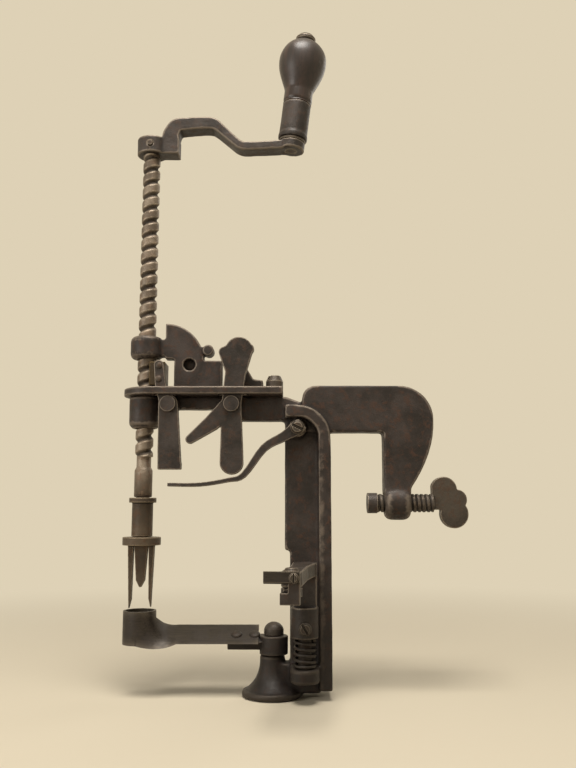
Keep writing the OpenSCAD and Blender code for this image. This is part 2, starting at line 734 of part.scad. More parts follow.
module fork() color(steel) translate([spindle_x, 0, 0]) difference() {
  union() {
    translate([0, 0, fork_bottom]) cylinder(d = fork_flange_d, h = fork_flange_t);
    rotate([0, 0, 180]) prong(prong_l);
    prong(short_prong_l);
    slab(-prong_t / 2, prong_t / 2) polygon([
      [-spike_w / 2, fork_bottom + 1], [spike_w / 2, fork_bottom + 1],
      [spike_w / 3.2, fork_bottom - spike_l + 3], [0.4, fork_bottom - spike_l], [-0.4, fork_bottom - spike_l],
      [-spike_w / 3.2, fork_bottom - spike_l + 3]
    ]);
  }
  translate([0, 0, fork_bottom - 0.001]) cylinder(d = journal_d + 2 * fixed_play, h = fork_flange_t + 1);
}

// Crank and handle

hub_z = thread_top;
handle_foot_z = hub_z + 7.3;
arm_end_z = handle_foot_z - crank_end_h / 2;
handle_x = spindle_x + crank_r;
crank_pin_d = 2.6;
crank_pin_z = hub_z + crank_hub_h / 2;
washer_t = 1;
washer_d = ferrule_d - 0.8;
grip_start = washer_t + face_gap;
grip_top = grip_start + ferrule_l + grip_l;

// Places its children in the handle's own frame, with z = 0 on top of the crank's eye
module at_handle() {
  translate([handle_x, 0, handle_foot_z]) rotate([0, handle_lean, 0]) children();
}

// The swan neck's middle line with its height, up out of the hub's block and on to the handle's eye
crank_riser_w = 8;
crank_block_l = crank_r * 0.198;
swan_z = hub_z + crank_lift;
crank_knots = [
  [spindle_x + crank_r * 0.135, hub_z + 1, crank_riser_w],
  [spindle_x + crank_r * 0.135, hub_z + crank_hub_h, crank_riser_w],
  [spindle_x + crank_r * 0.147, swan_z - crank_lift * 0.28, crank_riser_w * 0.95],
  [spindle_x + crank_r * 0.178, swan_z - crank_lift * 0.075, crank_neck_h * 1.1],
  [spindle_x + crank_r * 0.235, swan_z - crank_lift * 0.04, crank_neck_h * 1.03],
  [spindle_x + crank_r * 0.35, swan_z, crank_neck_h],
  [spindle_x + crank_r * 0.432, swan_z - crank_lift * 0.015, crank_neck_h * 0.95],
  [spindle_x + crank_r * 0.482, swan_z - crank_lift * 0.15, crank_neck_h * 0.78],
  [spindle_x + crank_r * 0.585, arm_end_z + crank_lift * 0.12, crank_end_h * 0.92],
  [spindle_x + crank_r * 0.637, arm_end_z - crank_lift * 0.045, crank_end_h * 0.93],
  [spindle_x + crank_r * 0.71, arm_end_z - crank_lift * 0.07, crank_end_h * 0.93],
  [handle_x, arm_end_z, crank_end_h - 0.2]
];

module crank_arm() color(dark_iron) difference() {
  union() {
    translate([spindle_x, 0, hub_z]) cylinder(r = crank_hub_r, h = crank_hub_h);
    translate([spindle_x, -crank_t / 2, hub_z]) cube([crank_block_l, crank_t, crank_hub_h]);
    slab(-crank_t / 2, crank_t / 2) bent_bar(crank_knots, 4);
    at_handle() translate([0, 0, -crank_end_h]) cylinder(r = crank_eye_r, h = crank_end_h);
  }
  translate([spindle_x, 0, hub_z - 1]) cylinder(d = crank_tenon_d + 2 * fixed_play, h = crank_hub_h + 20);
  rod_y(spindle_x, crank_pin_z, -crank_hub_r - 1, crank_hub_r + 1, crank_pin_d / 2 + fixed_play);
  at_handle() translate([0, 0, -crank_end_h - 3])
    cylinder(d = handle_pin_d + 2 * fixed_play, h = crank_end_h + 3);
}

module crank_pin() color(steel) difference() {
  rod_y(spindle_x, crank_pin_z, -crank_hub_r - 0.6, crank_hub_r + 0.6, crank_pin_d / 2);
  translate([spindle_x, 0, hub_z]) cylinder(d = crank_tenon_d + 2 * fixed_play, h = crank_hub_h);
}

module handle_pin() color(steel) at_handle() {
  head_z = grip_top + face_gap;
  translate([0, 0, -crank_end_h]) cylinder(d = handle_pin_d, h = crank_end_h + head_z + 0.5);
  translate([0, 0, head_z]) rotate_extrude() polygon([
    [0, 0], [pin_head_d / 2 - 0.8, 0],
    [pin_head_d / 2, pin_head_h * 0.3], [pin_head_d / 2, pin_head_h * 0.55],
    [pin_head_d * 0.36, pin_head_h * 0.9], [pin_head_d * 0.18, pin_head_h], [0, pin_head_h]
  ]);
}

module handle_washer() color(steel) at_handle() difference() {
  cylinder(d = washer_d, h = washer_t);
  translate([0, 0, -1]) cylinder(d = handle_pin_d + 2 * fixed_play, h = washer_t + 2);
}

// Radius of the wooden grip at a height above the ferrule: a ball that runs out into a slim neck
function grip_radius(z) =
  let (
    ball_r = grip_d / 2,
    neck_r = ferrule_d / 2 + 0.2,
    crown = pin_head_d / 2 + 0.4,
    centre = grip_l - sqrt(ball_r * ball_r - crown * crown),
    fade = max(0, 1 - pow((centre - z) / grip_taper_l, 2))
  )
  z > centre ? sqrt(ball_r * ball_r - pow(z - centre, 2)) : neck_r + (ball_r - neck_r) * pow(fade, 1.5);

module handle_grip() color(wood) at_handle() {
  steps = 20;
  collar_z = grip_start + ferrule_l;
  core_r = ferrule_d / 2 - ferrule_wall;
  difference() {
    rotate_extrude() polygon(concat(
      [[0, grip_start], [core_r, grip_start], [core_r, collar_z]],
      [for (i = [0 : steps]) [grip_radius(grip_l * i / steps), collar_z + grip_l * i / steps]],
      [[0, grip_top]]));
    translate([0, 0, -1]) cylinder(d = handle_pin_d + 2 * running_play, h = grip_top + 2);
  }
}

module handle_ferrule() color(dark_iron) at_handle() difference() {
  bead_h = 2.4;
  union() {
    translate([0, 0, grip_start]) cylinder(d = ferrule_d, h = ferrule_l);
    translate([0, 0, grip_start]) cylinder(d = ferrule_d + 0.5, h = bead_h);
  }
  translate([0, 0, grip_start - 1])
    cylinder(d = ferrule_d - 2 * ferrule_wall + 2 * fixed_play, h = ferrule_l + 2);
}

// Clamp screw

pad_right = pad_stand + pad_t;
tip_d = 5;
tip_depth = 2.8;
wing_x = jaw_inner + jaw_boss_l + thumb_out_l;

module clamp_pad() color(dark_iron) difference() {
  rod_x(pad_stand, pad_right, pad_d / 2);
  rod_x(pad_right - tip_depth, pad_right + 1, tip_d / 2 + running_play);
}

wing_up = 11.9;
wing_down = 11.3;
wing_neck_h = 6;
wing_web_r = 4.6;

module thumb_screw() color(steel) {
  lobe_b_shift = 2.9;
  rod_x(pad_right - tip_depth + face_gap, pad_right + 1, tip_d / 2);
  rod_x(pad_right + face_gap, wing_x, thumb_d / 2);
  slab(-wing_t / 2, wing_t / 2) {
    translate([wing_x + wing_lobe_a * 0.8, wing_up - wing_lobe_a]) circle(r = wing_lobe_a);
    translate([wing_x + wing_lobe_b + lobe_b_shift, wing_lobe_b - wing_down]) circle(r = wing_lobe_b);
    translate([wing_x + wing_lobe_a + wing_web_r, wing_web_r / 3]) circle(r = wing_web_r);
    translate([wing_x - wing_neck_h / 2, -wing_neck_h / 2]) square([wing_neck_h * 1.5, wing_neck_h]);
  }
}

// Coring and slicing cutter

cutter_z = foot_top + face_gap;
blade_z = cutter_z + 7.7;
blade_right = -29;
blade_left = blade_right - blade_l;
ring_bottom = blade_z - 3;
knife_rivet_d = 2.6;
knife_rivet_places = [blade_right - 5, blade_right - 13];
cutter_arm_t = 4;
tongue_w = 9;
tongue_end = 4;

module cutter_post() color(steel) {
  post_bottom = bar_bottom + 1;
  post_top = cutter_z + cutter_hub_h + face_gap + 3;
  translate([post_x, 0, post_bottom]) cylinder(d = post_d, h = post_top - post_bottom);
}

module cutter_cap_nut() color(steel) translate([post_x, 0, cutter_z + cutter_hub_h + face_gap]) difference() {
  cap_r = 4.4;
  rotate_extrude() polygon(concat(
    [[0, 0], [cap_r, 0]],
    [for (a = [0 : 15 : 75]) [cap_r * cos(a), 1.8 + 3.8 * sin(a)]],
    [[0, 5.6]]));
  translate([0, 0, -1]) cylinder(d = post_d + 2 * fixed_play, h = 4);
}

// Places its children on the slicing blade's plane, with z along its normal
module on_blade() {
  translate([0, 0, blade_z]) rotate([blade_tilt, 0, 0]) children();
}

module cutter_arm() color(dark_iron) difference() {
  tongue_l = post_x + tongue_end - knife_rivet_places[1];
  union() {
    translate([post_x, 0, cutter_z]) cylinder(r = cutter_hub_r, h = cutter_hub_h);
    intersection() {
      on_blade() translate([post_x - tongue_l, -tongue_w / 2, -cutter_arm_t])
        cube([tongue_l, tongue_w, cutter_arm_t]);
      translate([post_x - tongue_l, -tongue_w, cutter_z]) cube([tongue_l, 2 * tongue_w, 2 * tongue_w]);
    }
  }
  translate([post_x, 0, cutter_z - 1]) cylinder(d = post_d + 2 * running_play, h = cutter_hub_h + 2);
  translate([post_x, 0, cutter_z + cutter_hub_h]) cylinder(r = 1.5 * cutter_hub_r, h = cutter_hub_h);
  for (x = knife_rivet_places) {
    on_blade() translate([x, 0, -cutter_arm_t - 1])
      cylinder(d = knife_rivet_d + 2 * fixed_play, h = cutter_arm_t + 2);
  }
}

// One thin slice of the strip that turns from the ring's upright wall into the tilted blade
module strip_slice(t) {
  start = [spindle_x + 1.5, -ring_d / 2 - blade_t / 2, ring_bottom + ring_h / 2];
  end = [blade_left + 0.5, 0, blade_z];
  middle = start + (end - start) * t - [0, 0, 0.8 * sin(180 * t)];
  width = ring_h + (blade_w - ring_h) * t;
  tilt = 90 + (blade_tilt - 90) * (0.5 - 0.5 * cos(180 * t));
  translate(middle) rotate([tilt, 0, 0]) translate([0, -width / 2, -blade_t / 2 + t * blade_t / 2])
    cube([0.3, width, blade_t]);
}

module coring_ring() color(blade_steel) translate([spindle_x, 0, ring_bottom]) difference() {
  cylinder(d = ring_d + 2 * blade_t, h = ring_h);
  translate([0, 0, -1]) cylinder(d = ring_d, h = ring_h + 2);
}

module slicing_knife() color(blade_steel) {
  slices = 6;
  difference() {
    for (i = [0 : slices - 1]) {
      hull() {
        strip_slice(i / slices);
        strip_slice((i + 1) / slices);
      }
    }
    translate([spindle_x, 0, ring_bottom - ring_h])
      cylinder(r = ring_d / 2 + blade_t + fixed_play, h = 3 * ring_h);
  }
  difference() {
    on_blade() translate([blade_left, -blade_w / 2, 0])
      cube([blade_right - blade_left - 1.5, blade_w, blade_t]);
    translate([post_x, 0, cutter_z]) cylinder(r = cutter_hub_r + face_gap, h = 3 * cutter_hub_h);
    for (x = knife_rivet_places) {
      on_blade() translate([x, 0, -1]) cylinder(d = knife_rivet_d + 2 * fixed_play, h = blade_t + 2);
    }
  }
}

module knife_rivets() color(steel) for (x = knife_rivet_places) {
  on_blade() {
    translate([x, 0, -cutter_arm_t]) cylinder(d = knife_rivet_d, h = cutter_arm_t + blade_t);
    translate([x, 0, blade_t]) cylinder(d1 = knife_rivet_d * 1.9, d2 = knife_rivet_d * 1.2, h = 1);
  }
}

// Paring arm

hub_bottom = lug_top + coil_room;
stud_top = hub_bottom + paring_hub_h - face_gap;
arm_bar_top = hub_bottom + paring_arm_rise;
arm_bar_z = arm_bar_top - paring_bar_h;
stem_w = 10.4;
stem_t = 5.8;
eye_r = 4;
head_pin_d = 3.2;
head_gap = face_gap;
holder_t = 3.2;
holder_top = arm_bar_z - head_gap;
arm_screw_d = 3;
arm_screw_z = hub_bottom + 4.4;

module paring_stud() color(steel)
  translate([stud_x, stud_y, lug_bottom]) cylinder(d = stud_d, h = stud_top - lug_bottom);

coil_r = stud_d / 2 + coil_wire / 2 + 0.7;
coil_rise = coil_room - coil_wire - 2 * face_gap;
coil_rings = 8 * coil_curls;
coil_sides = 6;

// Points on the coil's middle line, with a straight end of one wire diameter at each end
coil_line = [for (i = [-1 : coil_rings + 1])
  let (k = min(max(i, 0), coil_rings), a = 360 * k / 8, past = coil_wire * (i - k))
  [coil_r * cos(a) - past * sin(a), coil_r * sin(a) + past * cos(a), coil_rise * k / coil_rings]];

// Least distance between points of neighbouring curls, less the wire
coil_gap = min([for (i = [0 : coil_rings - 8]) norm(coil_line[i + 9] - coil_line[i + 1])]) - coil_wire;
echo(coil_least_gap = coil_gap);

function coil_ring(i) =
  let (
    last = len(coil_line) - 1,
    along = coil_line[min(i + 1, last)] - coil_line[max(i - 1, 0)],
    tangent = along / norm(along),
    out = cross(tangent, [0, 0, 1]),
    side = out / norm(out),
    up = cross(side, tangent)
  )
  [for (s = [0 : coil_sides - 1])
    coil_line[i] + coil_wire / 2 * (cos(360 * s / coil_sides) * side + sin(360 * s / coil_sides) * up)];

module arm_spring() color(steel) translate([stud_x, stud_y, lug_top + face_gap + coil_wire / 2]) {
  rings = len(coil_line);
  points = [for (i = [0 : rings - 1]) each coil_ring(i)];
  walls = [for (i = [0 : rings - 2], s = [0 : coil_sides - 1])
    let (a = i * coil_sides + s, b = i * coil_sides + (s + 1) % coil_sides)
    each [[a, b, a + coil_sides], [b, b + coil_sides, a + coil_sides]]];
  end = (rings - 1) * coil_sides;
  caps = [for (s = [1 : coil_sides - 2]) each [[0, s + 1, s], [end, end + s, end + s + 1]]];
  polyhedron(points = points, faces = [for (f = concat(walls, caps)) [f[0], f[2], f[1]]]);
}

// Places its children in the arm's frame: x along the reaching bar, z = 0 as in the part
module along_arm() {
  translate([stud_x, stud_y, 0]) rotate([0, 0, paring_angle]) children();
}

// The reaching bar from above: round ends on the stem and on the head's pin, slim in between
module reach_profile() {
  root_r = stem_w / 2;
  slim_w = 7;
  waist = paring_reach * 0.45;
  polygon(concat(
    [for (a = [-90 : 15 : 90]) [paring_reach, 0] + eye_r * [cos(a), sin(a)]],
    [[waist, slim_w / 2]],
    [for (a = [90 : 15 : 270]) root_r * [cos(a), sin(a)]],
    [[waist, -slim_w / 2]]));
}

module paring_arm() color(dark_iron) difference() {
  stem_z = hub_bottom + paring_hub_h;
  union() {
    translate([stud_x, stud_y, hub_bottom]) cylinder(r = paring_hub_r, h = paring_hub_h + 2);
    translate([stud_x - stem_w / 2, stud_y - stem_t / 2, stem_z])
      cube([stem_w, stem_t, arm_bar_top - stem_z]);
    along_arm() translate([0, 0, arm_bar_z]) linear_extrude(paring_bar_h) reach_profile();
  }
  translate([stud_x, stud_y, hub_bottom - 1]) cylinder(d = stud_d + 2 * running_play, h = paring_hub_h + 1);
  rod_y(stud_x, arm_screw_z, stud_y - paring_hub_r - 1, stud_y, arm_screw_d / 2 + fixed_play);
  along_arm() translate([paring_reach, 0, arm_bar_z - 1])
    cylinder(d = head_pin_d + 2 * fixed_play, h = paring_bar_h + 2);
}

module arm_screw() color(steel) {
  rod_y(stud_x, arm_screw_z, stud_y - paring_hub_r, stud_y - stud_d / 2 - 0.5, arm_screw_d / 2);
  translate([stud_x, stud_y - paring_hub_r, arm_screw_z]) rotate([90, 60, 0]) slotted_head(5.4, 2, 1, 0.8);
}

module head_pin() color(steel) along_arm() translate([paring_reach, 0, 0]) {
  pin_bottom = holder_top - holder_t - head_gap;
  translate([0, 0, pin_bottom]) cylinder(d = head_pin_d, h = arm_bar_top - pin_bottom);
  translate([0, 0, arm_bar_top]) cylinder(d1 = head_pin_d * 1.9, d2 = head_pin_d * 1.4, h = 1.2);
  translate([0, 0, pin_bottom - 1]) cylinder(d = head_pin_d * 1.6, h = 1);
}

spine_x = eye_r + 1;
spine_t = 2.6;
upper_leg_h = 3.8;
lower_leg_h = 4.3;
lower_leg_l = 5;
spine_right = 4;
spine_bottom = holder_top - holder_t - 2.4;

module blade_holder() color(dark_iron) along_arm() translate([paring_reach, 0, 0]) difference() {
  leg_tip = spine_right - paring_blade_l;
  union() {
    translate([0, 0, holder_top - holder_t]) cylinder(r = eye_r, h = holder_t);
    translate([0, -2.5, holder_top - holder_t]) cube([spine_x + 0.5, 5, holder_t]);
    translate([spine_x, spine_right - 4.5, spine_bottom]) cube([spine_t, 4.5, arm_bar_top - spine_bottom]);
    translate([spine_x, leg_tip + upper_leg_h / 2, arm_bar_top - upper_leg_h])
      cube([spine_t, paring_blade_l - upper_leg_h / 2, upper_leg_h]);
    translate([spine_x, leg_tip + upper_leg_h / 2, arm_bar_top - upper_leg_h / 2]) rotate([0, 90, 0])
      cylinder(d = upper_leg_h, h = spine_t);
    translate([spine_x, spine_right - lower_leg_l - 2.5, spine_bottom])
      cube([spine_t, lower_leg_l, lower_leg_h]);
  }
  translate([0, 0, holder_top - holder_t - 1]) cylinder(d = head_pin_d + 2 * running_play, h = holder_t + 2);
  translate([spine_x - 1, blade_screw_y, blade_screw_z]) rotate([0, 90, 0])
    cylinder(d = blade_screw_d + 2 * fixed_play, h = spine_t + 2);
}

paring_blade_t = 0.8;
paring_blade_h = 4.6;
blade_screw_d = 2;
blade_screw_y = spine_right - 2.2;
blade_screw_z = arm_bar_top - upper_leg_h / 2;

module paring_blade() color(blade_steel) along_arm()
  translate([paring_reach + spine_x + spine_t, 0, 0]) difference() {
  bevel = 0.6;
  translate([0, spine_right, blade_screw_z]) rotate([90, 0, 0]) linear_extrude(paring_blade_l + 1) polygon([
    [0, -paring_blade_h / 2], [paring_blade_t, -paring_blade_h / 2 + bevel],
    [paring_blade_t, paring_blade_h / 2], [0, paring_blade_h / 2]
  ]);
  translate([-1, blade_screw_y, blade_screw_z]) rotate([0, 90, 0])
    cylinder(d = blade_screw_d + 2 * fixed_play, h = paring_blade_t + 2);
}

module blade_screw() color(steel) along_arm()
  translate([paring_reach + spine_x, blade_screw_y, blade_screw_z]) {
  rotate([0, 90, 0]) cylinder(d = blade_screw_d, h = spine_t + paring_blade_t);
  translate([spine_t + paring_blade_t, 0, 0]) rotate([0, 90, 0]) slotted_head(3.8, 1.3, 0.7, 0.6);
}

frame_casting();
bearing_bracket();
bracket_screw();
half_nut_pin();
release_pin();
latch_spring();
spring_screw();
cutter_post();
cutter_cap_nut();
paring_stud();
arm_spring();
lead_screw();
stripper_sleeve();
fork();
crank_arm();
crank_pin();
handle_pin();
handle_washer();
handle_grip();
handle_ferrule();
half_nut_lever();
half_nut_shoe();
shoe_rivets();
release_lever();
clamp_pad();
thumb_screw();
cutter_arm();
coring_ring();
slicing_knife();
knife_rivets();
paring_arm();
arm_screw();
head_pin();
blade_holder();
paring_blade();
blade_screw();
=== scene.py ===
# %% [markdown]
# # An old hand-cranked apple peeler
# The machine clamps on the edge of a table. A crank turns a long screw with a fork on its end, the apple
# sits on the fork, and the screw pushes it past a paring knife and into a ring that takes out the core.
# The CAD model already has every piece at its real size, so this notebook only gives the pieces the skin
# of old iron, steel and wood. It loads that model as a fixed frame and builds each look around it.

import json
import math

import bmesh
import bpy
import numpy as np
from mathutils import Matrix, Vector, noise


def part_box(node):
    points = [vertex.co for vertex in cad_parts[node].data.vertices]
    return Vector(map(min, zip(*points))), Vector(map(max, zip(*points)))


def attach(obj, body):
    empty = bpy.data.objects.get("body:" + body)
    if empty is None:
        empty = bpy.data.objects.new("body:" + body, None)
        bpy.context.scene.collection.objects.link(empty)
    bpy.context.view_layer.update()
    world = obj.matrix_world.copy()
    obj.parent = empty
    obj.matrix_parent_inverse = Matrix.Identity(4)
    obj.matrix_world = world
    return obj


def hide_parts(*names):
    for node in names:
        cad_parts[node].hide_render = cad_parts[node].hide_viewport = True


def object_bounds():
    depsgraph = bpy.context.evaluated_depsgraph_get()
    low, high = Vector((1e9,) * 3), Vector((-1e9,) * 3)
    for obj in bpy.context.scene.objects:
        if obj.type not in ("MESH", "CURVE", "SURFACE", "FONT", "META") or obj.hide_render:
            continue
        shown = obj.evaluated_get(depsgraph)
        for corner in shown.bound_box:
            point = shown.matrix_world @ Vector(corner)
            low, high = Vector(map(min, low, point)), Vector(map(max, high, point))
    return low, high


MM = 0.001
scene = bpy.context.scene
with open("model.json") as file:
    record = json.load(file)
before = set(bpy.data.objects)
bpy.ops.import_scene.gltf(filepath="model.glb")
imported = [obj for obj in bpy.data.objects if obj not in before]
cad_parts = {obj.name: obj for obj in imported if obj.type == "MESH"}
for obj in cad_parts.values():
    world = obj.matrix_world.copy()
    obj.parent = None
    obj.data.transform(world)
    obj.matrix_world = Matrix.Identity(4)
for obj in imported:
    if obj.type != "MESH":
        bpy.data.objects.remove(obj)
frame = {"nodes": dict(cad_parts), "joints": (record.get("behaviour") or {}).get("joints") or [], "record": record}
cad_low, cad_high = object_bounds()
print("CAD box in mm:", [round(side / MM, 1) for side in cad_high - cad_low])

# %% [markdown]
# ## Camera
# The peeler is seen from close by and a little from below, so the lens looks slightly up. A camera could be
# aimed by hand. Here it hangs on a line from one point of the machine, which keeps the distance, the tilt
# and the focal length as three separate numbers.

# %% Camera
IMAGE_H_PX = 768
FOCAL_PX = 800
SENSOR_H = 36.0
CLIP_START = 10
aim = Vector((-19.2, 0.0, 55.0)) * MM
aim_distance = 373.6 * MM
upward_tilt = math.radians(8.8)

lens = bpy.data.cameras.new("camera")
lens.sensor_fit = "VERTICAL"
lens.sensor_height = SENSOR_H
lens.lens = SENSOR_H * FOCAL_PX / IMAGE_H_PX
lens.clip_start = CLIP_START * MM
camera = bpy.data.objects.new("camera", lens)
look = Vector((0, math.cos(upward_tilt), math.sin(upward_tilt)))
camera.location = aim - look * aim_distance
camera.rotation_euler = (math.radians(90) + upward_tilt, 0, 0)
scene.collection.objects.link(camera)
scene.camera = camera
print("camera at mm:", [round(c / MM, 1) for c in camera.location])

# %% [markdown]
# ## A kit for the finishes
# Old metal is never one colour: it has blotches, a crust, pits and rubbed edges. All of these come from
# noise at different sizes, so a small class keeps the calls short. Sizes are given in millimetres on the
# object, because a texture in real sizes stays right on every piece.

# %% Finish kit
def screen_colour(red, green, blue):
    """Turns a colour as it looks on a screen, 0 to 255, into the linear values that shaders use."""
    def linear(level):
        share = level / 255
        return share / 12.92 if share <= 0.04045 else ((share + 0.055) / 1.055) ** 2.4
    return (linear(red), linear(green), linear(blue), 1.0)


class Finish:
    """A material in the making. Values are node outputs or plain numbers."""

    def __init__(self, name):
        self.material = bpy.data.materials.new(name)
        self.material.use_nodes = True
        self.nodes = self.material.node_tree.nodes
        self.links = self.material.node_tree.links
        self.shader = self.nodes["Principled BSDF"]
        self.place = self.nodes.new("ShaderNodeTexCoord").outputs["Object"]

    def feed(self, socket, value):
        """Links an output to a socket, or sets a plain value on it."""
        if isinstance(value, bpy.types.NodeSocket):
            self.links.new(value, socket)
        else:
            socket.default_value = value

    def give(self, label, value):
        """Feeds a socket of the surface shader."""
        self.feed(self.shader.inputs[label], value)

    def turned_place(self, lean, centre):
        """Object coordinates about a centre, turned so that Z runs along an axis that leans in X."""
        mapping = self.nodes.new("ShaderNodeMapping")
        mapping.vector_type = "TEXTURE"
        mapping.inputs["Location"].default_value = centre
        mapping.inputs["Rotation"].default_value = (0, lean, 0)
        self.links.new(self.place, mapping.inputs["Vector"])
        return mapping.outputs["Vector"]

    def grain(self, size_mm, detail=3.0, roughness=0.55, stretch=(1, 1, 1), place=None, twist=0.0):
        """Noise whose spots measure about size_mm, drawn out where stretch is under 1."""
        mapping = self.nodes.new("ShaderNodeMapping")
        mapping.inputs["Scale"].default_value = stretch
        self.links.new(place or self.place, mapping.inputs["Vector"])
        spots = self.nodes.new("ShaderNodeTexNoise")
        spots.inputs["Scale"].default_value = 1 / (size_mm * MM)
        spots.inputs["Detail"].default_value = detail
        spots.inputs["Roughness"].default_value = roughness
        spots.inputs["Distortion"].default_value = twist
        self.links.new(mapping.outputs["Vector"], spots.inputs["Vector"])
        return spots.outputs["Fac"]

    def cells(self, size_mm):
        """Distance to the nearest of scattered points, for pits and freckles."""
        spots = self.nodes.new("ShaderNodeTexVoronoi")
        spots.inputs["Scale"].default_value = 1 / (size_mm * MM)
        self.links.new(self.place, spots.inputs["Vector"])
        return spots.outputs["Distance"]

    def span(self, value, low, high, to_low=0.0, to_high=1.0):
        """Eases a value from one span to another and stops at both ends."""
        ramp = self.nodes.new("ShaderNodeMapRange")
        ramp.interpolation_type = "SMOOTHSTEP"
        self.feed(ramp.inputs["Value"], value)
        ends = {"From Min": low, "From Max": high, "To Min": to_low, "To Max": to_high}
        for label, end in ends.items():
            ramp.inputs[label].default_value = end
        return ramp.outputs["Result"]

    def calc(self, operation, first, second, clamp=True):
        """Arithmetic on two values."""
        step = self.nodes.new("ShaderNodeMath")
        step.operation = operation
        step.use_clamp = clamp
        self.feed(step.inputs[0], first)
        self.feed(step.inputs[1], second)
        return step.outputs[0]

    def mix(self, share, first, second):
        """A colour between two colours."""
        blend = self.nodes.new("ShaderNodeMix")
        blend.data_type = "RGBA"
        self.feed(blend.inputs["Factor"], share)
        colour_a = next(s for s in blend.inputs if s.name == "A" and s.type == "RGBA")
        colour_b = next(s for s in blend.inputs if s.name == "B" and s.type == "RGBA")
        self.feed(colour_a, first)
        self.feed(colour_b, second)
        return next(s for s in blend.outputs if s.type == "RGBA")

    def height_mm(self):
        """How high a point lies in the machine."""
        axes = self.nodes.new("ShaderNodeSeparateXYZ")
        self.links.new(self.place, axes.inputs[0])
        return self.calc("DIVIDE", axes.outputs["Z"], MM, clamp=False)

    def mark(self, label):
        """A value that the mesh itself carries, such as its ridges, its hollows and a painted highlight."""
        reader = self.nodes.new("ShaderNodeAttribute")
        reader.attribute_name = label
        return reader.outputs["Fac"]

    def relief(self, height, depth_mm, under=None):
        """A bump of a depth in millimetres, on top of another one if given."""
        bump = self.nodes.new("ShaderNodeBump")
        bump.inputs["Distance"].default_value = depth_mm * MM
        self.links.new(height, bump.inputs["Height"])
        if under is not None:
            self.links.new(under, bump.inputs["Normal"])
        return bump.outputs["Normal"]


print("finish kit ready:", [name for name in vars(Finish) if not name.startswith("_")])

# %% [markdown]
# ## Backdrop
# A backdrop could be a sheet that curves up behind the machine. Here the world itself is the backdrop: the
# eye, shine and glass see it as a warm white, while the light that it sends to the machine stays weak. The
# two helpers are used again for the floor.

# %% Backdrop
BACKDROP = screen_colour(222, 209, 182)
ROOM_TINT = (1.0, 0.95, 0.87, 1.0)
ROOM_LIGHT = 0.15


def seen_rays(tree):
    """1 for the rays of the eye, of shine and of glass, 0 for the light that falls on things."""
    rays = tree.nodes.new("ShaderNodeLightPath").outputs
    seen = rays["Is Camera Ray"]
    for label in ("Is Glossy Ray", "Is Transmission Ray"):
        either = tree.nodes.new("ShaderNodeMath")
        either.operation = "MAXIMUM"
        tree.links.new(seen, either.inputs[0])
        tree.links.new(rays[label], either.inputs[1])
        seen = either.outputs[0]
    return seen


def blend_shaders(tree, share, first, second, output):
    """Sends a mix of two shaders to an output: the first where share is 0, the second where it is 1."""
    blend = tree.nodes.new("ShaderNodeMixShader")
    for socket, source in zip(blend.inputs, (share, first.outputs[0], second.outputs[0])):
        tree.links.new(source, socket)
    tree.links.new(blend.outputs[0], tree.nodes[output].inputs["Surface"])


scene.view_settings.view_transform = "Standard"
world = bpy.data.worlds.new("pale_room")
world.use_nodes = True
scene.world = world
air = world.node_tree
room_light = air.nodes["Background"]
room_light.inputs["Color"].default_value = ROOM_TINT
room_light.inputs["Strength"].default_value = ROOM_LIGHT
backdrop = air.nodes.new("ShaderNodeBackground")
backdrop.inputs["Color"].default_value = BACKDROP
blend_shaders(air, seen_rays(air), room_light, backdrop, "World Output")
print("backdrop ready:", world.name)

# %% [markdown]
# ## Lamps
# Dark iron shows its shape only by soft reflections, and small lamps would give it sharp white dots. So one
# wide lamp hangs above and in front, a weaker one fills from the left, and a third one lights the back.

# %% Lamps
def soft_lamp(name, place_mm, size_mm, watts, colour):
    """A square lamp at a place in millimetres, turned towards the middle of the machine."""
    lamp = bpy.data.lights.new(name, "AREA")
    lamp.size = size_mm * MM
    lamp.energy = watts
    lamp.color = colour
    holder = bpy.data.objects.new(name, lamp)
    holder.location = Vector(place_mm) * MM
    middle = (cad_low + cad_high) / 2
    holder.rotation_euler = (middle - holder.location).to_track_quat("-Z", "Y").to_euler()
    scene.collection.objects.link(holder)


WARM = (1.0, 0.96, 0.9)
MILD = (1.0, 0.97, 0.93)
soft_lamp("top_lamp", place_mm=(-40, -300, 780), size_mm=420, watts=6.6, colour=WARM)
soft_lamp("left_lamp", place_mm=(-620, -420, 180), size_mm=380, watts=1.6, colour=MILD)
soft_lamp("back_lamp", place_mm=(420, 560, 420), size_mm=420, watts=0.7, colour=MILD)

# %% [markdown]
# ## Floor
# The floor has nearly the colour of the backdrop and fades into it, so that no horizon draws the eye away
# from the machine. The fade starts beyond the foot, so the machine keeps its shadow. Light that bounces off
# the floor finds it darker, which keeps the undersides dark.

# %% Floor
FLOOR_R = 1.6
FLOOR_SIDES = 96
FLOOR_GAP = 0.1
FLOOR_ROUGHNESS = 0.9
FADE_FROM = 0.14
FADE_TO = 0.55
FLOOR_COLOUR = screen_colour(226, 214, 189)
BOUNCE_COLOUR = screen_colour(96, 88, 78)
floor_mesh = bpy.data.meshes.new("floor")
disc = bmesh.new()
bmesh.ops.create_circle(disc, cap_ends=True, segments=FLOOR_SIDES, radius=FLOOR_R)
bmesh.ops.translate(disc, verts=disc.verts, vec=(0, 0, cad_low.z - FLOOR_GAP * MM))
disc.to_mesh(floor_mesh)
disc.free()
floor = bpy.data.objects.new("floor", floor_mesh)
scene.collection.objects.link(floor)

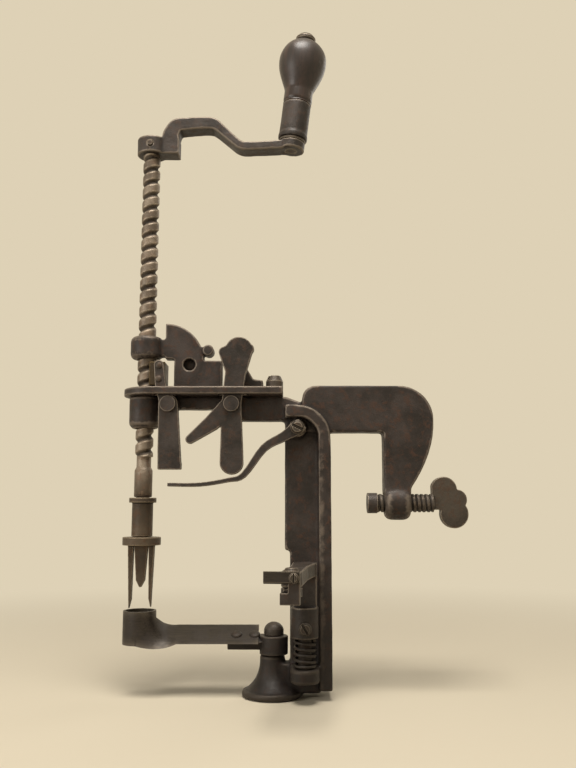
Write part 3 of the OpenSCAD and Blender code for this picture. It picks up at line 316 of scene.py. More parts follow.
paint = Finish("floor_paint")
bounced = paint.nodes.new("ShaderNodeLightPath").outputs["Is Diffuse Ray"]
paint.give("Base Color", paint.mix(bounced, FLOOR_COLOUR, BOUNCE_COLOUR))
paint.give("Roughness", FLOOR_ROUGHNESS)
reach = paint.nodes.new("ShaderNodeVectorMath")
reach.operation = "LENGTH"
paint.links.new(paint.place, reach.inputs[0])
far = paint.span(reach.outputs["Value"], FADE_FROM, FADE_TO)
far_look = paint.nodes.new("ShaderNodeEmission")
far_look.inputs["Color"].default_value = BACKDROP
floor_tree = paint.material.node_tree
seen_far = paint.calc("MULTIPLY", far, seen_rays(floor_tree))
blend_shaders(floor_tree, seen_far, paint.shader, far_look, "Material Output")
floor_mesh.materials.append(paint.material)
print("floor at z mm:", round(cad_low.z / MM, 1))

# %% [markdown]
# ## Iron and steel
# The casting was once blackened, and a century of kitchens has left it brown, with rust in the blotches and a
# faint shine where hands rub it. Hollows and thread grooves get dirt and painted shade, and the metal darkens
# towards the foot as painted shade; the steel of the low pieces also has a darker palette as painted shade.
# Screw, pins and spring are steel with the same history but a brighter core. One recipe with several palettes
# keeps them a family.

# %% Aged metal
# Colour of dirt and painted shade in hollows; below the top height in mm the metal gets painted shade too.
SHADE_AND_DIRT = screen_colour(24, 19, 16)
PAINTED_SHADE_FOOT = -74
PAINTED_SHADE_TOP = -14
PAINTED_SHADE_MOST = 0.74


def aged_metal(name, dark, light, rust, rubbed, rust_share, shine, roughness, metal):
    """Blotched metal of four screen colours: dark and light body, rust crust, rubbed ridges and painted
    highlights.
    """
    finish = Finish(name)
    blotch = finish.grain(16, detail=5, roughness=0.6, twist=0.4)
    crust = finish.grain(3.2, detail=7, roughness=0.68)
    tooth = finish.grain(0.55, detail=4, roughness=0.6)
    freckle = finish.span(finish.cells(4.5), 0.1, 0.42, 1.0, 0.0)
    body = finish.mix(finish.span(blotch, 0.34, 0.66), screen_colour(*dark), screen_colour(*light))
    rusty = finish.calc("MULTIPLY", finish.span(crust, 0.5, 0.64), rust_share)
    rusty = finish.calc("ADD", rusty, finish.calc("MULTIPLY", freckle, rust_share * 0.35))
    body = finish.mix(rusty, body, screen_colour(*rust))
    # Rubbed ridges, random scuffs and, on the frame, a band of painted highlight lighten towards the last colour.
    scuff_and_sheen = finish.calc("ADD", finish.mark("ridge"), finish.span(crust, 0.3, 0.75, -0.3, 0.3))
    scuff_and_sheen = finish.span(scuff_and_sheen, 0.2, 0.8)
    body = finish.mix(finish.calc("MULTIPLY", scuff_and_sheen, 0.85), body, screen_colour(*rubbed))
    # Hollows and thread grooves are painted darker: dirt and painted shade.
    hollow = finish.calc("MAXIMUM", finish.mark("hollow"), finish.mark("groove"))
    dirt_and_shade = finish.calc("MULTIPLY", hollow, 0.85)
    # Painted shade: the metal is darker towards the foot, most at the lowest height.
    painted_low_shade = finish.span(finish.height_mm(), PAINTED_SHADE_FOOT, PAINTED_SHADE_TOP, PAINTED_SHADE_MOST, 0.0)
    body = finish.mix(painted_low_shade, body, SHADE_AND_DIRT)
    finish.give("Base Color", finish.mix(dirt_and_shade, body, SHADE_AND_DIRT))
    finish.give("Metallic", finish.span(scuff_and_sheen, 0.0, 1.0, metal, min(1.0, metal + 0.4)))
    rough = finish.span(finish.calc("ADD", crust, dirt_and_shade), 0.3, 0.8, roughness, roughness + 0.24)
    finish.give("Roughness", rough)
    finish.give("Specular IOR Level", shine)
    finish.give("Normal", finish.relief(tooth, 0.09, finish.relief(crust, 0.22)))
    return finish.material


METALS = {
    "frame_iron": {
        "dark": (45, 39, 35), "light": (75, 66, 61), "rust": (88, 61, 45), "rubbed": (126, 115, 104),
        "rust_share": 0.55, "shine": 0.34, "roughness": 0.42, "metal": 0.1},
    "worn_iron": {
        "dark": (46, 41, 37), "light": (76, 68, 63), "rust": (86, 63, 48), "rubbed": (136, 125, 113),
        "rust_share": 0.45, "shine": 0.36, "roughness": 0.4, "metal": 0.18},
    # Steel of the fork, posts and sleeve low down: brown, and darker than the spindle's steel as painted shade.
    "brown_steel": {
        "dark": (72, 61, 49), "light": (104, 90, 73), "rust": (96, 68, 47), "rubbed": (138, 124, 105),
        "rust_share": 0.5, "shine": 0.4, "roughness": 0.42, "metal": 0.25},
    "rusty_steel": {
        "dark": (106, 93, 79), "light": (154, 139, 121), "rust": (120, 86, 60), "rubbed": (184, 170, 152),
        "rust_share": 0.45, "shine": 0.5, "roughness": 0.38, "metal": 0.35},
    "dark_steel": {
        "dark": (56, 49, 42), "light": (88, 79, 69), "rust": (90, 63, 44), "rubbed": (136, 125, 112),
        "rust_share": 0.45, "shine": 0.4, "roughness": 0.4, "metal": 0.28},
    "shoe_bronze": {
        "dark": (54, 43, 30), "light": (76, 62, 42), "rust": (54, 46, 34), "rubbed": (108, 91, 60),
        "rust_share": 0.3, "shine": 0.45, "roughness": 0.4, "metal": 0.4},
}
FINISHES = {name: aged_metal(name, **palette) for name, palette in METALS.items()}
print("metal finishes:", sorted(FINISHES))

# %% [markdown]
# ## Blade steel
# The knife strip and the paring blade are thin carbon steel, stained by fruit acid: long grinding marks,
# brown tide lines and dark spots. Noise that is drawn out along X gives the marks.

# %% Blade steel
def stained_blade(name):
    """Grey-brown blade steel with grinding marks, tide lines and spots."""
    finish = Finish(name)
    marks = finish.grain(0.5, detail=3, stretch=(0.06, 1, 1))
    tide = finish.grain(9, detail=6, roughness=0.66, twist=0.8)
    spots = finish.span(finish.cells(3.4), 0.08, 0.36, 1.0, 0.0)
    steel = finish.mix(finish.span(marks, 0.3, 0.7), screen_colour(42, 36, 30), screen_colour(62, 54, 46))
    stain = finish.span(tide, 0.44, 0.6)
    steel = finish.mix(finish.calc("MULTIPLY", stain, 0.75), steel, screen_colour(38, 29, 23))
    steel = finish.mix(finish.calc("MULTIPLY", spots, 0.45), steel, screen_colour(27, 21, 18))
    finish.give("Base Color", finish.mix(finish.mark("ridge"), steel, screen_colour(108, 98, 85)))
    finish.give("Metallic", finish.span(stain, 0.0, 1.0, 0.4, 0.15))
    finish.give("Roughness", finish.span(tide, 0.35, 0.65, 0.34, 0.56))
    finish.give("Normal", finish.relief(marks, 0.02, finish.relief(tide, 0.08)))
    return finish.material


FINISHES["blade_steel"] = stained_blade("blade_steel")
print("blade finish added:", FINISHES["blade_steel"].name)

# %% [markdown]
# ## Dark turned wood
# The handle is a turned hardwood knob, stained nearly black by hands. Its grain runs along the handle,
# which leans away from the screw, so the texture space is turned by the same lean before it is drawn out.

# %% Handle wood
spin_joint = next(joint for joint in frame["joints"] if joint["name"] == "handle_spin")
handle_axis = Vector(spin_joint["axis"]).normalized()
handle_foot = Vector(spin_joint["pos_m"])
handle_lean = math.atan2(handle_axis.x, handle_axis.z)


def handle_wood(name):
    """Stained hardwood with long grain, darker pores, worn shine and a few dents."""
    finish = Finish(name)
    along = finish.turned_place(handle_lean, handle_foot)
    bands = finish.grain(3.4, detail=4, stretch=(1, 1, 0.12), place=along, twist=0.6)
    pores = finish.grain(0.55, detail=2, stretch=(1, 1, 0.07), place=along)
    patina = finish.grain(14, detail=5, roughness=0.6)
    dents = finish.span(finish.cells(7), 0.05, 0.22, 1.0, 0.0)
    wood = finish.mix(finish.span(bands, 0.32, 0.68), screen_colour(42, 30, 27), screen_colour(74, 55, 48))
    wood = finish.mix(finish.span(pores, 0.56, 0.7, 0.0, 0.7), wood, screen_colour(28, 20, 17))
    wood = finish.mix(finish.span(patina, 0.4, 0.68, 0.0, 0.55), wood, screen_colour(40, 34, 31))
    wood = finish.mix(finish.calc("MULTIPLY", finish.mark("ridge"), 0.5), wood, screen_colour(104, 80, 64))
    # Hollows are painted darker: dirt and painted shade.
    finish.give("Base Color", finish.mix(finish.mark("hollow"), wood, screen_colour(20, 15, 13)))
    finish.give("Roughness", finish.span(patina, 0.3, 0.7, 0.3, 0.5))
    finish.give("Coat Weight", 0.18)
    finish.give("Coat Roughness", 0.3)
    dented = finish.relief(dents, -0.12)
    finish.give("Normal", finish.relief(pores, -0.05, finish.relief(bands, 0.05, dented)))
    return finish.material


FINISHES["dark_wood"] = handle_wood("dark_wood")
print("handle leans by degrees:", round(math.degrees(handle_lean), 1))

# %% [markdown]
# ## From CAD solid to worn casting
# A casting has no sharp edge: the sand rounds it, and use wears it further. Bevels on a CAD mesh would have
# to be chosen edge by edge. Instead a copy is rebuilt on a fine grid and smoothed, which rounds every edge
# and fills every corner alike, and slow noise then gives the slightly uneven skin of a sand mould.

# %% Mesh helpers
MERGE = 0.001 * MM
SHARP = math.radians(50)
BEND_START = 0.25
BEND_SPREAD = 3
SMALLEST = 1e-12


def show(name, mesh):
    """A new object for a mesh, at the origin."""
    piece = bpy.data.objects.new(name, mesh)
    scene.collection.objects.link(piece)
    return piece


def settle(piece):
    """Turns what the modifiers make into the piece's plain mesh."""
    graph = bpy.context.evaluated_depsgraph_get()
    final = bpy.data.meshes.new_from_object(piece.evaluated_get(graph), depsgraph=graph)
    piece.modifiers.clear()
    piece.data = final
    final.name = piece.name


def numbers(items, label, width, kind=np.float64):
    """One property of many mesh items as a table."""
    table = np.empty(len(items) * width, kind)
    items.foreach_get(label, table)
    return table.reshape(-1, width)


def triangles(mesh):
    """How many triangles a mesh comes to."""
    return sum(len(face.vertices) - 2 for face in mesh.polygons)


def mark_wear_and_shade(mesh, rub_radius_mm):
    """Stores how sharply the mesh bends: ridge where it is rubbed, hollow where dirt and painted shade go."""
    points = numbers(mesh.vertices, "co", 3)
    normals = numbers(mesh.vertex_normals, "vector", 3)
    edges = numbers(mesh.edges, "vertices", 2, np.int32)
    ends = np.concatenate([edges[:, 0], edges[:, 1]])
    others = np.concatenate([edges[:, 1], edges[:, 0]])
    count = np.maximum(np.bincount(ends, minlength=len(points)), 1)

    def around(values):
        return np.bincount(ends, weights=values[others], minlength=len(points)) / count

    middle = np.stack([around(points[:, axis]) for axis in range(3)], axis=1)
    reach = ((points[others] - points[ends]) ** 2).sum(axis=1)
    reach = np.bincount(ends, weights=reach, minlength=len(points)) / count
    # On a ball the neighbours' middle lies reach / (2 * radius) under a point, so bend is twice the rub
    # radius over the ball's radius, with a minus on a ridge.
    bend = 4 * ((middle - points) * normals).sum(axis=1) / np.maximum(reach, SMALLEST) * MM * rub_radius_mm
    for _ in range(BEND_SPREAD):
        bend = (bend + around(bend)) / 2
    for label, amount in (("ridge", -bend - BEND_START), ("hollow", bend - BEND_START)):
        layer = mesh.attributes.new(label, "FLOAT", "POINT")
        layer.data.foreach_set("value", np.clip(amount, 0, 1).astype(np.float32))


def dress(piece, finish, node):
    """Puts a finish on a piece and lets it stand for a CAD node, on that node's body."""
    piece.data.materials.clear()
    piece.data.materials.append(FINISHES[finish])
    piece.data.shade_smooth()
    piece.data.set_sharp_from_angle(angle=SHARP)
    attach(piece, body_of_node[node])
    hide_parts(node)


body_of_node = {}
for body, members in frame["record"]["behaviour"]["bodies"].items():
    for member in members:
        body_of_node[member] = body
print("nodes to dress:", len(body_of_node))

# %% [markdown]
# ## Cast pieces
# Frame, bracket, crank, levers and arms were poured in sand. A fine grid keeps small forms but costs faces,
# so each piece has a grid that suits its own details, and the big frame is thinned afterwards.

# %% Cast pieces
SWELL_MM = 7.0
TOOTH_MM = 1.3
SOFTEN = 0.5
RUB_LEAST = 0.4
RUB_PER_GRID = 3.6


def merged_copy(node):
    """A CAD node's triangles as one joined mesh."""
    mesh = frame["nodes"][node].data.copy()
    mesh.materials.clear()
    soup = bmesh.new()
    soup.from_mesh(mesh)
    bmesh.ops.remove_doubles(soup, verts=soup.verts, dist=MERGE)
    soup.to_mesh(mesh)
    soup.free()
    return mesh


def uneven(mesh, swell_mm, tooth_mm):
    """Moves each point a little along its normal, by a slow and a fast noise."""
    normals = numbers(mesh.vertex_normals, "vector", 3)
    for point, normal in zip(mesh.vertices, normals):
        slow = noise.noise(point.co / (SWELL_MM * MM))
        fast = noise.noise(point.co / (TOOTH_MM * MM))
        point.co += Vector(normal) * (slow * swell_mm + fast * tooth_mm) * MM


def round_off(piece, grid_mm, rounds, keep=1.0):
    """Rebuilds a piece on a grid, smooths it and keeps a share of its faces."""
    rebuild = piece.modifiers.new("rebuild", "REMESH")
    rebuild.mode = "VOXEL"
    rebuild.voxel_size = grid_mm * MM
    soften = piece.modifiers.new("soften", "SMOOTH")
    soften.factor = SOFTEN
    soften.iterations = rounds
    if keep < 1:
        thin = piece.modifiers.new("thin", "DECIMATE")
        thin.ratio = keep
    settle(piece)


def cast(node, finish, grid_mm, rounds, swell_mm, tooth_mm, keep=1.0):
    """A CAD node rebuilt on a grid, rounded and given an uneven skin."""
    piece = show(node + "_skin", merged_copy(node))
    round_off(piece, grid_mm, rounds, keep)
    uneven(piece.data, swell_mm, tooth_mm)
    mark_wear_and_shade(piece.data, RUB_LEAST + RUB_PER_GRID * grid_mm)
    dress(piece, finish, node)
    print(piece.name, "triangles:", triangles(piece.data))
    return piece


# Finish, grid in mm, rounds of smoothing, swell and tooth of the skin in mm, share of the faces kept
CASTINGS = {
    "frame_casting": ("frame_iron", 0.55, 14, 0.1, 0.02, 0.6),
    "bearing_bracket": ("frame_iron", 0.36, 10, 0.08, 0.02, 1.0),
    "crank_arm": ("worn_iron", 0.36, 12, 0.1, 0.015, 1.0),
    "half_nut_lever": ("worn_iron", 0.22, 8, 0.06, 0.015, 1.0),
    "release_lever": ("worn_iron", 0.24, 9, 0.07, 0.015, 1.0),
    "cutter_arm": ("worn_iron", 0.24, 8, 0.06, 0.015, 1.0),
    "paring_arm": ("worn_iron", 0.3, 10, 0.08, 0.015, 1.0),
    "blade_holder": ("worn_iron", 0.16, 8, 0.04, 0.01, 1.0),
}
castings = {node: cast(node, *plan) for node, plan in CASTINGS.items()}

# %% [markdown]
# ## Painted highlight on the flange
# In use the flat flange of the bar lies on the edge of the table. A soft band up the front of its inner corner
# is added to the ridge mark, which paints a highlight there: lighter and shinier, stronger towards its foot.

# %% Painted highlight on the flange
SHEEN_X = -4.3
SHEEN_WIDTH = 1.5
SHEEN_FRONT = -9.0
SHEEN_FOOT_Z = -10.0
SHEEN_FOOT_SHARE = 0.6
SHEEN_TOP_Z = 40.0
SHEEN_TOP_SHARE = 0.27
SHEEN_SEEN = 0.1


def painted_sheen_band(piece):
    """Paints a highlight: a lighter, shinier band up the front of the flange, stronger towards its foot."""
    points = numbers(piece.data.vertices, "co", 3) / MM
    marks = piece.data.attributes["ridge"].data
    band = np.exp(-((points[:, 0] - SHEEN_X) / SHEEN_WIDTH) ** 2) * (points[:, 1] < SHEEN_FRONT)
    band *= np.interp(points[:, 2], (SHEEN_FOOT_Z, SHEEN_TOP_Z), (SHEEN_FOOT_SHARE, SHEEN_TOP_SHARE))
    ridge = numbers(marks, "value", 1)[:, 0] + band
    marks.foreach_set("value", np.clip(ridge, 0, 1).astype(np.float32))
    return int((band > SHEEN_SEEN).sum())


# Counts the points where the painted highlight shows.
print("rubbed points:", painted_sheen_band(castings["frame_casting"]))

# %% [markdown]
# ## Forged and drawn steel
# Pins, posts, the fork and the leaf spring were cut from bar and wire, so their edges are crisper than a
# casting's. The same rebuild on a finer grid, with fewer rounds of smoothing, keeps them crisp.

# %% Steel pieces
STEEL_SWELL = 0.015
STEEL_TOOTH = 0.006
# Finish, grid in mm, rounds of smoothing
STEELS = {
    "bracket_screw": ("dark_steel", 0.14, 5),
    "half_nut_pin": ("worn_iron", 0.14, 5),
    "release_pin": ("worn_iron", 0.14, 5),
    "latch_spring": ("worn_iron", 0.17, 6),
    "spring_screw": ("dark_steel", 0.12, 5),
    "cutter_post": ("brown_steel", 0.18, 4),
    "cutter_cap_nut": ("dark_steel", 0.14, 5),
    "paring_stud": ("brown_steel", 0.18, 4),
    "stripper_sleeve": ("brown_steel", 0.2, 5),
    "fork": ("brown_steel", 0.18, 6),
    "crank_pin": ("dark_steel", 0.12, 5),
    "handle_pin": ("dark_steel", 0.2, 6),
    "handle_washer": ("dark_steel", 0.14, 4),
    "half_nut_shoe": ("shoe_bronze", 0.16, 4),
    "clamp_pad": ("worn_iron", 0.16, 6),
    "arm_screw": ("dark_steel", 0.1, 5),
    "head_pin": ("dark_steel", 0.12, 5),
    "paring_blade": ("blade_steel", 0.1, 2),
    "blade_screw": ("dark_steel", 0.08, 4),
}
for node, plan in STEELS.items():
    cast(node, *plan, STEEL_SWELL, STEEL_TOOTH)

# %% [markdown]
# ## Shapes that follow a rule
# The screws, the coil spring, the knife strip and the rows of rivets each follow a rule: a helix, a path or
# a row. Geometry Nodes keeps such a rule as a small tree with named sizes, so a pitch or a count can be
# changed in one place. The class below only shortens the wiring.

# %% Geometry Nodes kit
class Recipe:
    """A Geometry Nodes tree in the making. Its named inputs hold sizes in metres, shares and counts."""

    def __init__(self, name, sizes):
        self.tree = bpy.data.node_groups.new(name, "GeometryNodeTree")
        self.sizes = sizes
        self.keys = {}
        face = self.tree.interface
        face.new_socket("Path", in_out="INPUT", socket_type="NodeSocketGeometry")
        for label, value in sizes.items():
            kind = "NodeSocketInt" if isinstance(value, int) else "NodeSocketFloat"
            self.keys[label] = face.new_socket(label, in_out="INPUT", socket_type=kind).identifier
        face.new_socket("Shape", in_out="OUTPUT", socket_type="NodeSocketGeometry")
        self.entry = self.tree.nodes.new("NodeGroupInput")

    def size(self, label):
        """The named input of the tree."""
        return self.entry.outputs[label]

    def add(self, kind, feeds=None, **options):
        """A new node with its options set and some of its sockets fed, by name or by number."""
        node = self.tree.nodes.new(kind)
        for label, value in options.items():
            setattr(node, label, value)
        for label, value in (feeds or {}).items():
            if isinstance(value, bpy.types.NodeSocket):
                self.tree.links.new(value, node.inputs[label])
            else:
                node.inputs[label].default_value = value
        return node

    def calc(self, operation, *values):
        """Arithmetic on node outputs and plain numbers."""
        return self.add("ShaderNodeMath", dict(enumerate(values)), operation=operation).outputs[0]

    def point(self, x, y, z):
        """A vector from three values."""
        return self.add("ShaderNodeCombineXYZ", {"X": x, "Y": y, "Z": z}).outputs[0]

    def mesh(self, shape, finish, start=None):
        """Closes the tree, runs it once on a start mesh and returns the plain result."""
        real = self.add("GeometryNodeRealizeInstances", {"Geometry": shape})
        coat = {"Geometry": real.outputs[0], "Material": FINISHES[finish]}
        painted = self.add("GeometryNodeSetMaterial", coat)
        self.add("NodeGroupOutput", {"Shape": painted.outputs[0]})
        carrier = show(self.tree.name, start or bpy.data.meshes.new(self.tree.name))
        grow = carrier.modifiers.new("grow", "NODES")
        grow.node_group = self.tree
        for label, value in self.sizes.items():
            grow[self.keys[label]] = value
        settle(carrier)
        result = carrier.data
        bpy.data.objects.remove(carrier)
        return result


print("tree kit ready:", [name for name in vars(Recipe) if not name.startswith("_")])

# %% [markdown]
# ## Turned shapes
# Shank, tip, ferrule and grip came off a lathe. Blender's Spin tool or a Screw modifier would turn a
# profile too, but rings of points made here give closed ends and outward faces without any repair.

# %% Turned shapes and joined meshes
def turned(profile_mm, sides=56):
    """A mesh turned about Z from radii and heights in millimetres, with flat ends."""
    lathe = bmesh.new()
    rings = []
    for radius, height in profile_mm:
        turns = [math.tau * k / sides for k in range(sides)]
        spots = [Vector((radius * math.cos(a), radius * math.sin(a), height)) * MM for a in turns]
        rings.append([lathe.verts.new(spot) for spot in spots])
    for lower, upper in zip(rings, rings[1:]):
        for k in range(sides):
            after = (k + 1) % sides
            lathe.faces.new((lower[k], lower[after], upper[after], upper[k]))
    lathe.faces.new(rings[0][::-1])
    lathe.faces.new(rings[-1])
    mesh = bpy.data.meshes.new("turned")
    lathe.to_mesh(mesh)
    lathe.free()
    return mesh


def joined(*meshes):
    """One mesh from several."""
    whole = bmesh.new()
    for mesh in meshes:
        whole.from_mesh(mesh)
    mesh = bpy.data.meshes.new("joined")
    whole.to_mesh(mesh)
    whole.free()
    return mesh


def finished(name, mesh, finish, node, swell_mm=0.02, tooth_mm=0.008, rub_mm=1.1):
    """A slightly uneven mesh, marked for wear and for dirt and painted shade, dressed for its CAD node."""
    piece = show(name, mesh)
    uneven(mesh, swell_mm, tooth_mm)
    mark_wear_and_shade(mesh, rub_mm)
    dress(piece, finish, node)
    print(name, "triangles:", triangles(mesh))
    return piece


print("lathe ready")

# %% [markdown]
# ## Screws
# A plain cylinder with many rows becomes a screw when each point is pulled in by its distance from a
# helix. That is easier to control than sweeping a groove, because pitch, depth and width stay three
# separate numbers. The spindle and the thumb screw share the tree.

# %% Screw tree
def screw_rod(name, finish, radius_mm, length_mm, pitch_mm, depth_mm, groove_share, sides, rows_per_turn):
    """A rod up Z from 0 with one right-handed groove, a share of each turn wide."""
    recipe = Recipe(name, {
        "Radius": radius_mm * MM, "Length": length_mm * MM, "Pitch": pitch_mm * MM,
        "Groove depth": depth_mm * MM, "Groove share": groove_share,
        "Sides": sides, "Rows": int(rows_per_turn * length_mm / pitch_mm),
    })
    size, add, calc = recipe.size, recipe.add, recipe.calc
    rod = add("GeometryNodeMeshCylinder", {
        "Vertices": size("Sides"), "Side Segments": size("Rows"),
        "Radius": size("Radius"), "Depth": size("Length"),
    }).outputs["Mesh"]
    half = calc("MULTIPLY", size("Length"), 0.5)
    raised = add("GeometryNodeTransform", {"Geometry": rod, "Translation": recipe.point(0, 0, half)})
    place = add("GeometryNodeInputPosition").outputs[0]
    axes = add("ShaderNodeSeparateXYZ", {0: place}).outputs
    turn = calc("DIVIDE", calc("ARCTAN2", axes["Y"], axes["X"]), math.tau)
    share = calc("FRACT", calc("SUBTRACT", turn, calc("DIVIDE", axes["Z"], size("Pitch"))))
    off = calc("ABSOLUTE", calc("SUBTRACT", share, 0.5))
    off = calc("MINIMUM", calc("DIVIDE", off, calc("MULTIPLY", size("Groove share"), 0.5)), 1.0)
    dip = calc("MULTIPLY_ADD", calc("COSINE", calc("MULTIPLY", off, math.pi)), 0.5, 0.5)
    cut = calc("DIVIDE", calc("MULTIPLY", dip, size("Groove depth")), size("Radius"))
    slim = calc("SUBTRACT", 1.0, cut)
    moved = add("ShaderNodeVectorMath", {0: place, 1: recipe.point(slim, slim, 1.0)}, operation="MULTIPLY")
    # The groove's depth is kept as a mark, with which the finishes paint the grooves darker as dirt and painted
    # shade.
    marked = add("GeometryNodeStoreNamedAttribute", {
        "Geometry": raised.outputs[0], "Name": "groove", "Value": dip,
    }, data_type="FLOAT", domain="POINT")
    grooved = add("GeometryNodeSetPosition", {"Geometry": marked.outputs[0], "Position": moved.outputs[0]})
    return recipe.mesh(grooved.outputs[0], finish)


print("screw tree ready")

# %% [markdown]
# ## Spindle screw
# The spindle carries the fork at its foot and the crank on top. It is one steel bar with a coarse thread, a
# turned shank below it and a tenon in the crank's hub, so three meshes are joined. Most of their ends come
# from the boxes of the pieces that they meet.

# %% Spindle screw
SCREW_PITCH = 6.5
SCREW_GROOVE = 1.1
THREAD_FOOT = 21.0
SLEEVE_GAP = 0.3
NECK_L = 5.1
NECK_R = 3.3
JOURNAL_R = 3.0
TENON_R = 3.2
TENON_INSIDE = 1.0
EDGE = 0.4
screw_low, screw_high = (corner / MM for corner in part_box("lead_screw"))
sleeve_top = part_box("stripper_sleeve")[1].z / MM
hub_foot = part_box("crank_arm")[0].z / MM
screw_r = (screw_high.x - screw_low.x) / 2
spindle_axis = Matrix.Translation(Vector(((screw_low.x + screw_high.x) / 2, 0, 0)) * MM)
thread = screw_rod(
    "screw_thread", "rusty_steel", radius_mm=screw_r, length_mm=hub_foot - THREAD_FOOT,
    pitch_mm=SCREW_PITCH, depth_mm=SCREW_GROOVE, groove_share=0.56, sides=44, rows_per_turn=20)
thread.transform(Matrix.Translation((0, 0, THREAD_FOOT * MM)))
shank_foot = sleeve_top + SLEEVE_GAP
shank_top = THREAD_FOOT - NECK_L
lower = turned([
    (JOURNAL_R - EDGE, screw_low.z), (JOURNAL_R, screw_low.z + EDGE), (JOURNAL_R, shank_foot),
    (screw_r - EDGE, shank_foot), (screw_r, shank_foot + EDGE), (screw_r, shank_top - 3 * EDGE),
    (screw_r - EDGE, shank_top - EDGE), (NECK_R, shank_top + EDGE), (NECK_R, THREAD_FOOT + EDGE),
])
tenon = turned([
    (TENON_R, hub_foot - TENON_INSIDE), (TENON_R, screw_high.z - EDGE), (TENON_R - EDGE, screw_high.z),
])
spindle = joined(thread, lower, tenon)
spindle.transform(spindle_axis)
finished("spindle_screw", spindle, "rusty_steel", "lead_screw")

# %% [markdown]
# ## Thumb screw
# The clamp's screw was cast with its lobed wing, and the thread was cut afterwards. So the wing is the CAD
# solid, cut off where the thread starts and rounded like the castings, and rod and tip are made new.

# %% Thumb screw
THUMB_PITCH = 2.1
THUMB_GROOVE = 0.5
TIP_R = 2.5
TIP_L = 3.5
THREAD_START = 2.8
WING_START = 28.0
WING_GRID = 0.22
WING_ROUNDS = 10


def cut_off(mesh, x_mm):
    """The part of a closed mesh beyond a plane across X, closed again."""
    shape = bmesh.new()
    shape.from_mesh(mesh)
    everything = shape.verts[:] + shape.edges[:] + shape.faces[:]
    bmesh.ops.bisect_plane(
        shape, geom=everything, dist=MERGE, clear_inner=True,
        plane_co=(x_mm * MM, 0, 0), plane_no=(1, 0, 0))
    bmesh.ops.holes_fill(shape, edges=shape.edges[:])
    shape.to_mesh(mesh)
    shape.free()
    return mesh


thumb_low, thumb_high = (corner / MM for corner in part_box("thumb_screw"))
along_x = Matrix.Translation((thumb_low.x * MM, 0, 0)) @ Matrix.Rotation(math.radians(90), 4, "Y")
thumb_r = (thumb_high.y - thumb_low.y) / 2
shaft = screw_rod(
    "thumb_thread", "dark_steel", radius_mm=thumb_r, length_mm=WING_START - THREAD_START,
    pitch_mm=THUMB_PITCH, depth_mm=THUMB_GROOVE, groove_share=0.66, sides=40, rows_per_turn=12)
shaft.transform(Matrix.Translation((0, 0, THREAD_START * MM)))
tip = turned([(TIP_R - EDGE, 0), (TIP_R, EDGE), (TIP_R, TIP_L)], sides=32)
rod = joined(shaft, tip)
rod.transform(along_x)
wing = show("thumb_wing", cut_off(merged_copy("thumb_screw"), thumb_low.x + WING_START - 2 * EDGE))
round_off(wing, WING_GRID, WING_ROUNDS)
thumb = joined(rod, wing.data)
bpy.data.objects.remove(wing)
finished("wing_screw", thumb, "dark_steel", "thumb_screw", swell_mm=0.05, tooth_mm=0.012)

# %% [markdown]
# ## Coil spring
# A spring on the paring arm's stud pushes the blade against the apple. It could be swept along points made
# in a loop. Here a spiral curve gets a round section, and its height stands still at both ends, so that its
# first and last turns begin flat, as on a spring with closed ends.

# %% Coil spring
SMALL_RUB = 0.4
COIL_WIRE = 1.4
COIL_CURLS = 5.0
COIL_FLAT = 0.08


def coil_spring(name, finish, radius_mm, rise_mm, wire_mm, curls, flat_share):
    """A right-handed coil up Z from 0 with closed ends."""
    recipe = Recipe(name, {
        "Radius": radius_mm * MM, "Rise": rise_mm * MM, "Wire": wire_mm * MM, "Curls": curls,
        "Flat share": flat_share, "Points per curl": 28, "Wire sides": 14,
    })
    size, add, calc = recipe.size, recipe.add, recipe.calc
    spiral = add("GeometryNodeCurveSpiral", {
        "Resolution": size("Points per curl"), "Rotations": size("Curls"), "Height": size("Rise"),
        "Start Radius": size("Radius"), "End Radius": size("Radius"),
    }).outputs[0]
    part = add("GeometryNodeSplineParameter").outputs["Factor"]
    climb = add("ShaderNodeMapRange", {
        "Value": part, "From Min": size("Flat share"),
        "From Max": calc("SUBTRACT", 1.0, size("Flat share")), "To Max": size("Rise"),
    }).outputs[0]
    axes = add("ShaderNodeSeparateXYZ", {0: add("GeometryNodeInputPosition").outputs[0]}).outputs
    eased = add("GeometryNodeSetPosition", {
        "Geometry": spiral, "Position": recipe.point(axes["X"], axes["Y"], climb),
    }).outputs[0]
    section = add("GeometryNodeCurvePrimitiveCircle", {
        "Resolution": size("Wire sides"), "Radius": calc("MULTIPLY", size("Wire"), 0.5),
    }).outputs[0]
    wire = add("GeometryNodeCurveToMesh", {"Curve": eased, "Profile Curve": section, "Fill Caps": True})
    return recipe.mesh(wire.outputs[0], finish)


coil_low, coil_high = (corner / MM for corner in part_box("arm_spring"))
coil_rise = coil_high.z - coil_low.z - COIL_WIRE
coil_r = (coil_high.x - coil_low.x - COIL_WIRE) / 2
coil = coil_spring("coil", "dark_steel", coil_r, coil_rise, COIL_WIRE, COIL_CURLS, COIL_FLAT)
coil_foot = (coil_low + coil_high) / 2
coil_foot.z = coil_low.z + COIL_WIRE / 2
coil.transform(Matrix.Translation(coil_foot * MM))
finished("coil_spring", coil, "dark_steel", "arm_spring", swell_mm=0.0, tooth_mm=0.004, rub_mm=SMALL_RUB)

# %% [markdown]
# ## Rivets
# Two rivets hold the half nut's shoe on its lever, and two hold the knife on the cutter arm. All are a low
# dome, so one tree puts a squashed ball on a row of points, and each row is then carried to its place.

# %% Rivet tree
HEAD_SIDES = 24
HEAD_RINGS = 16


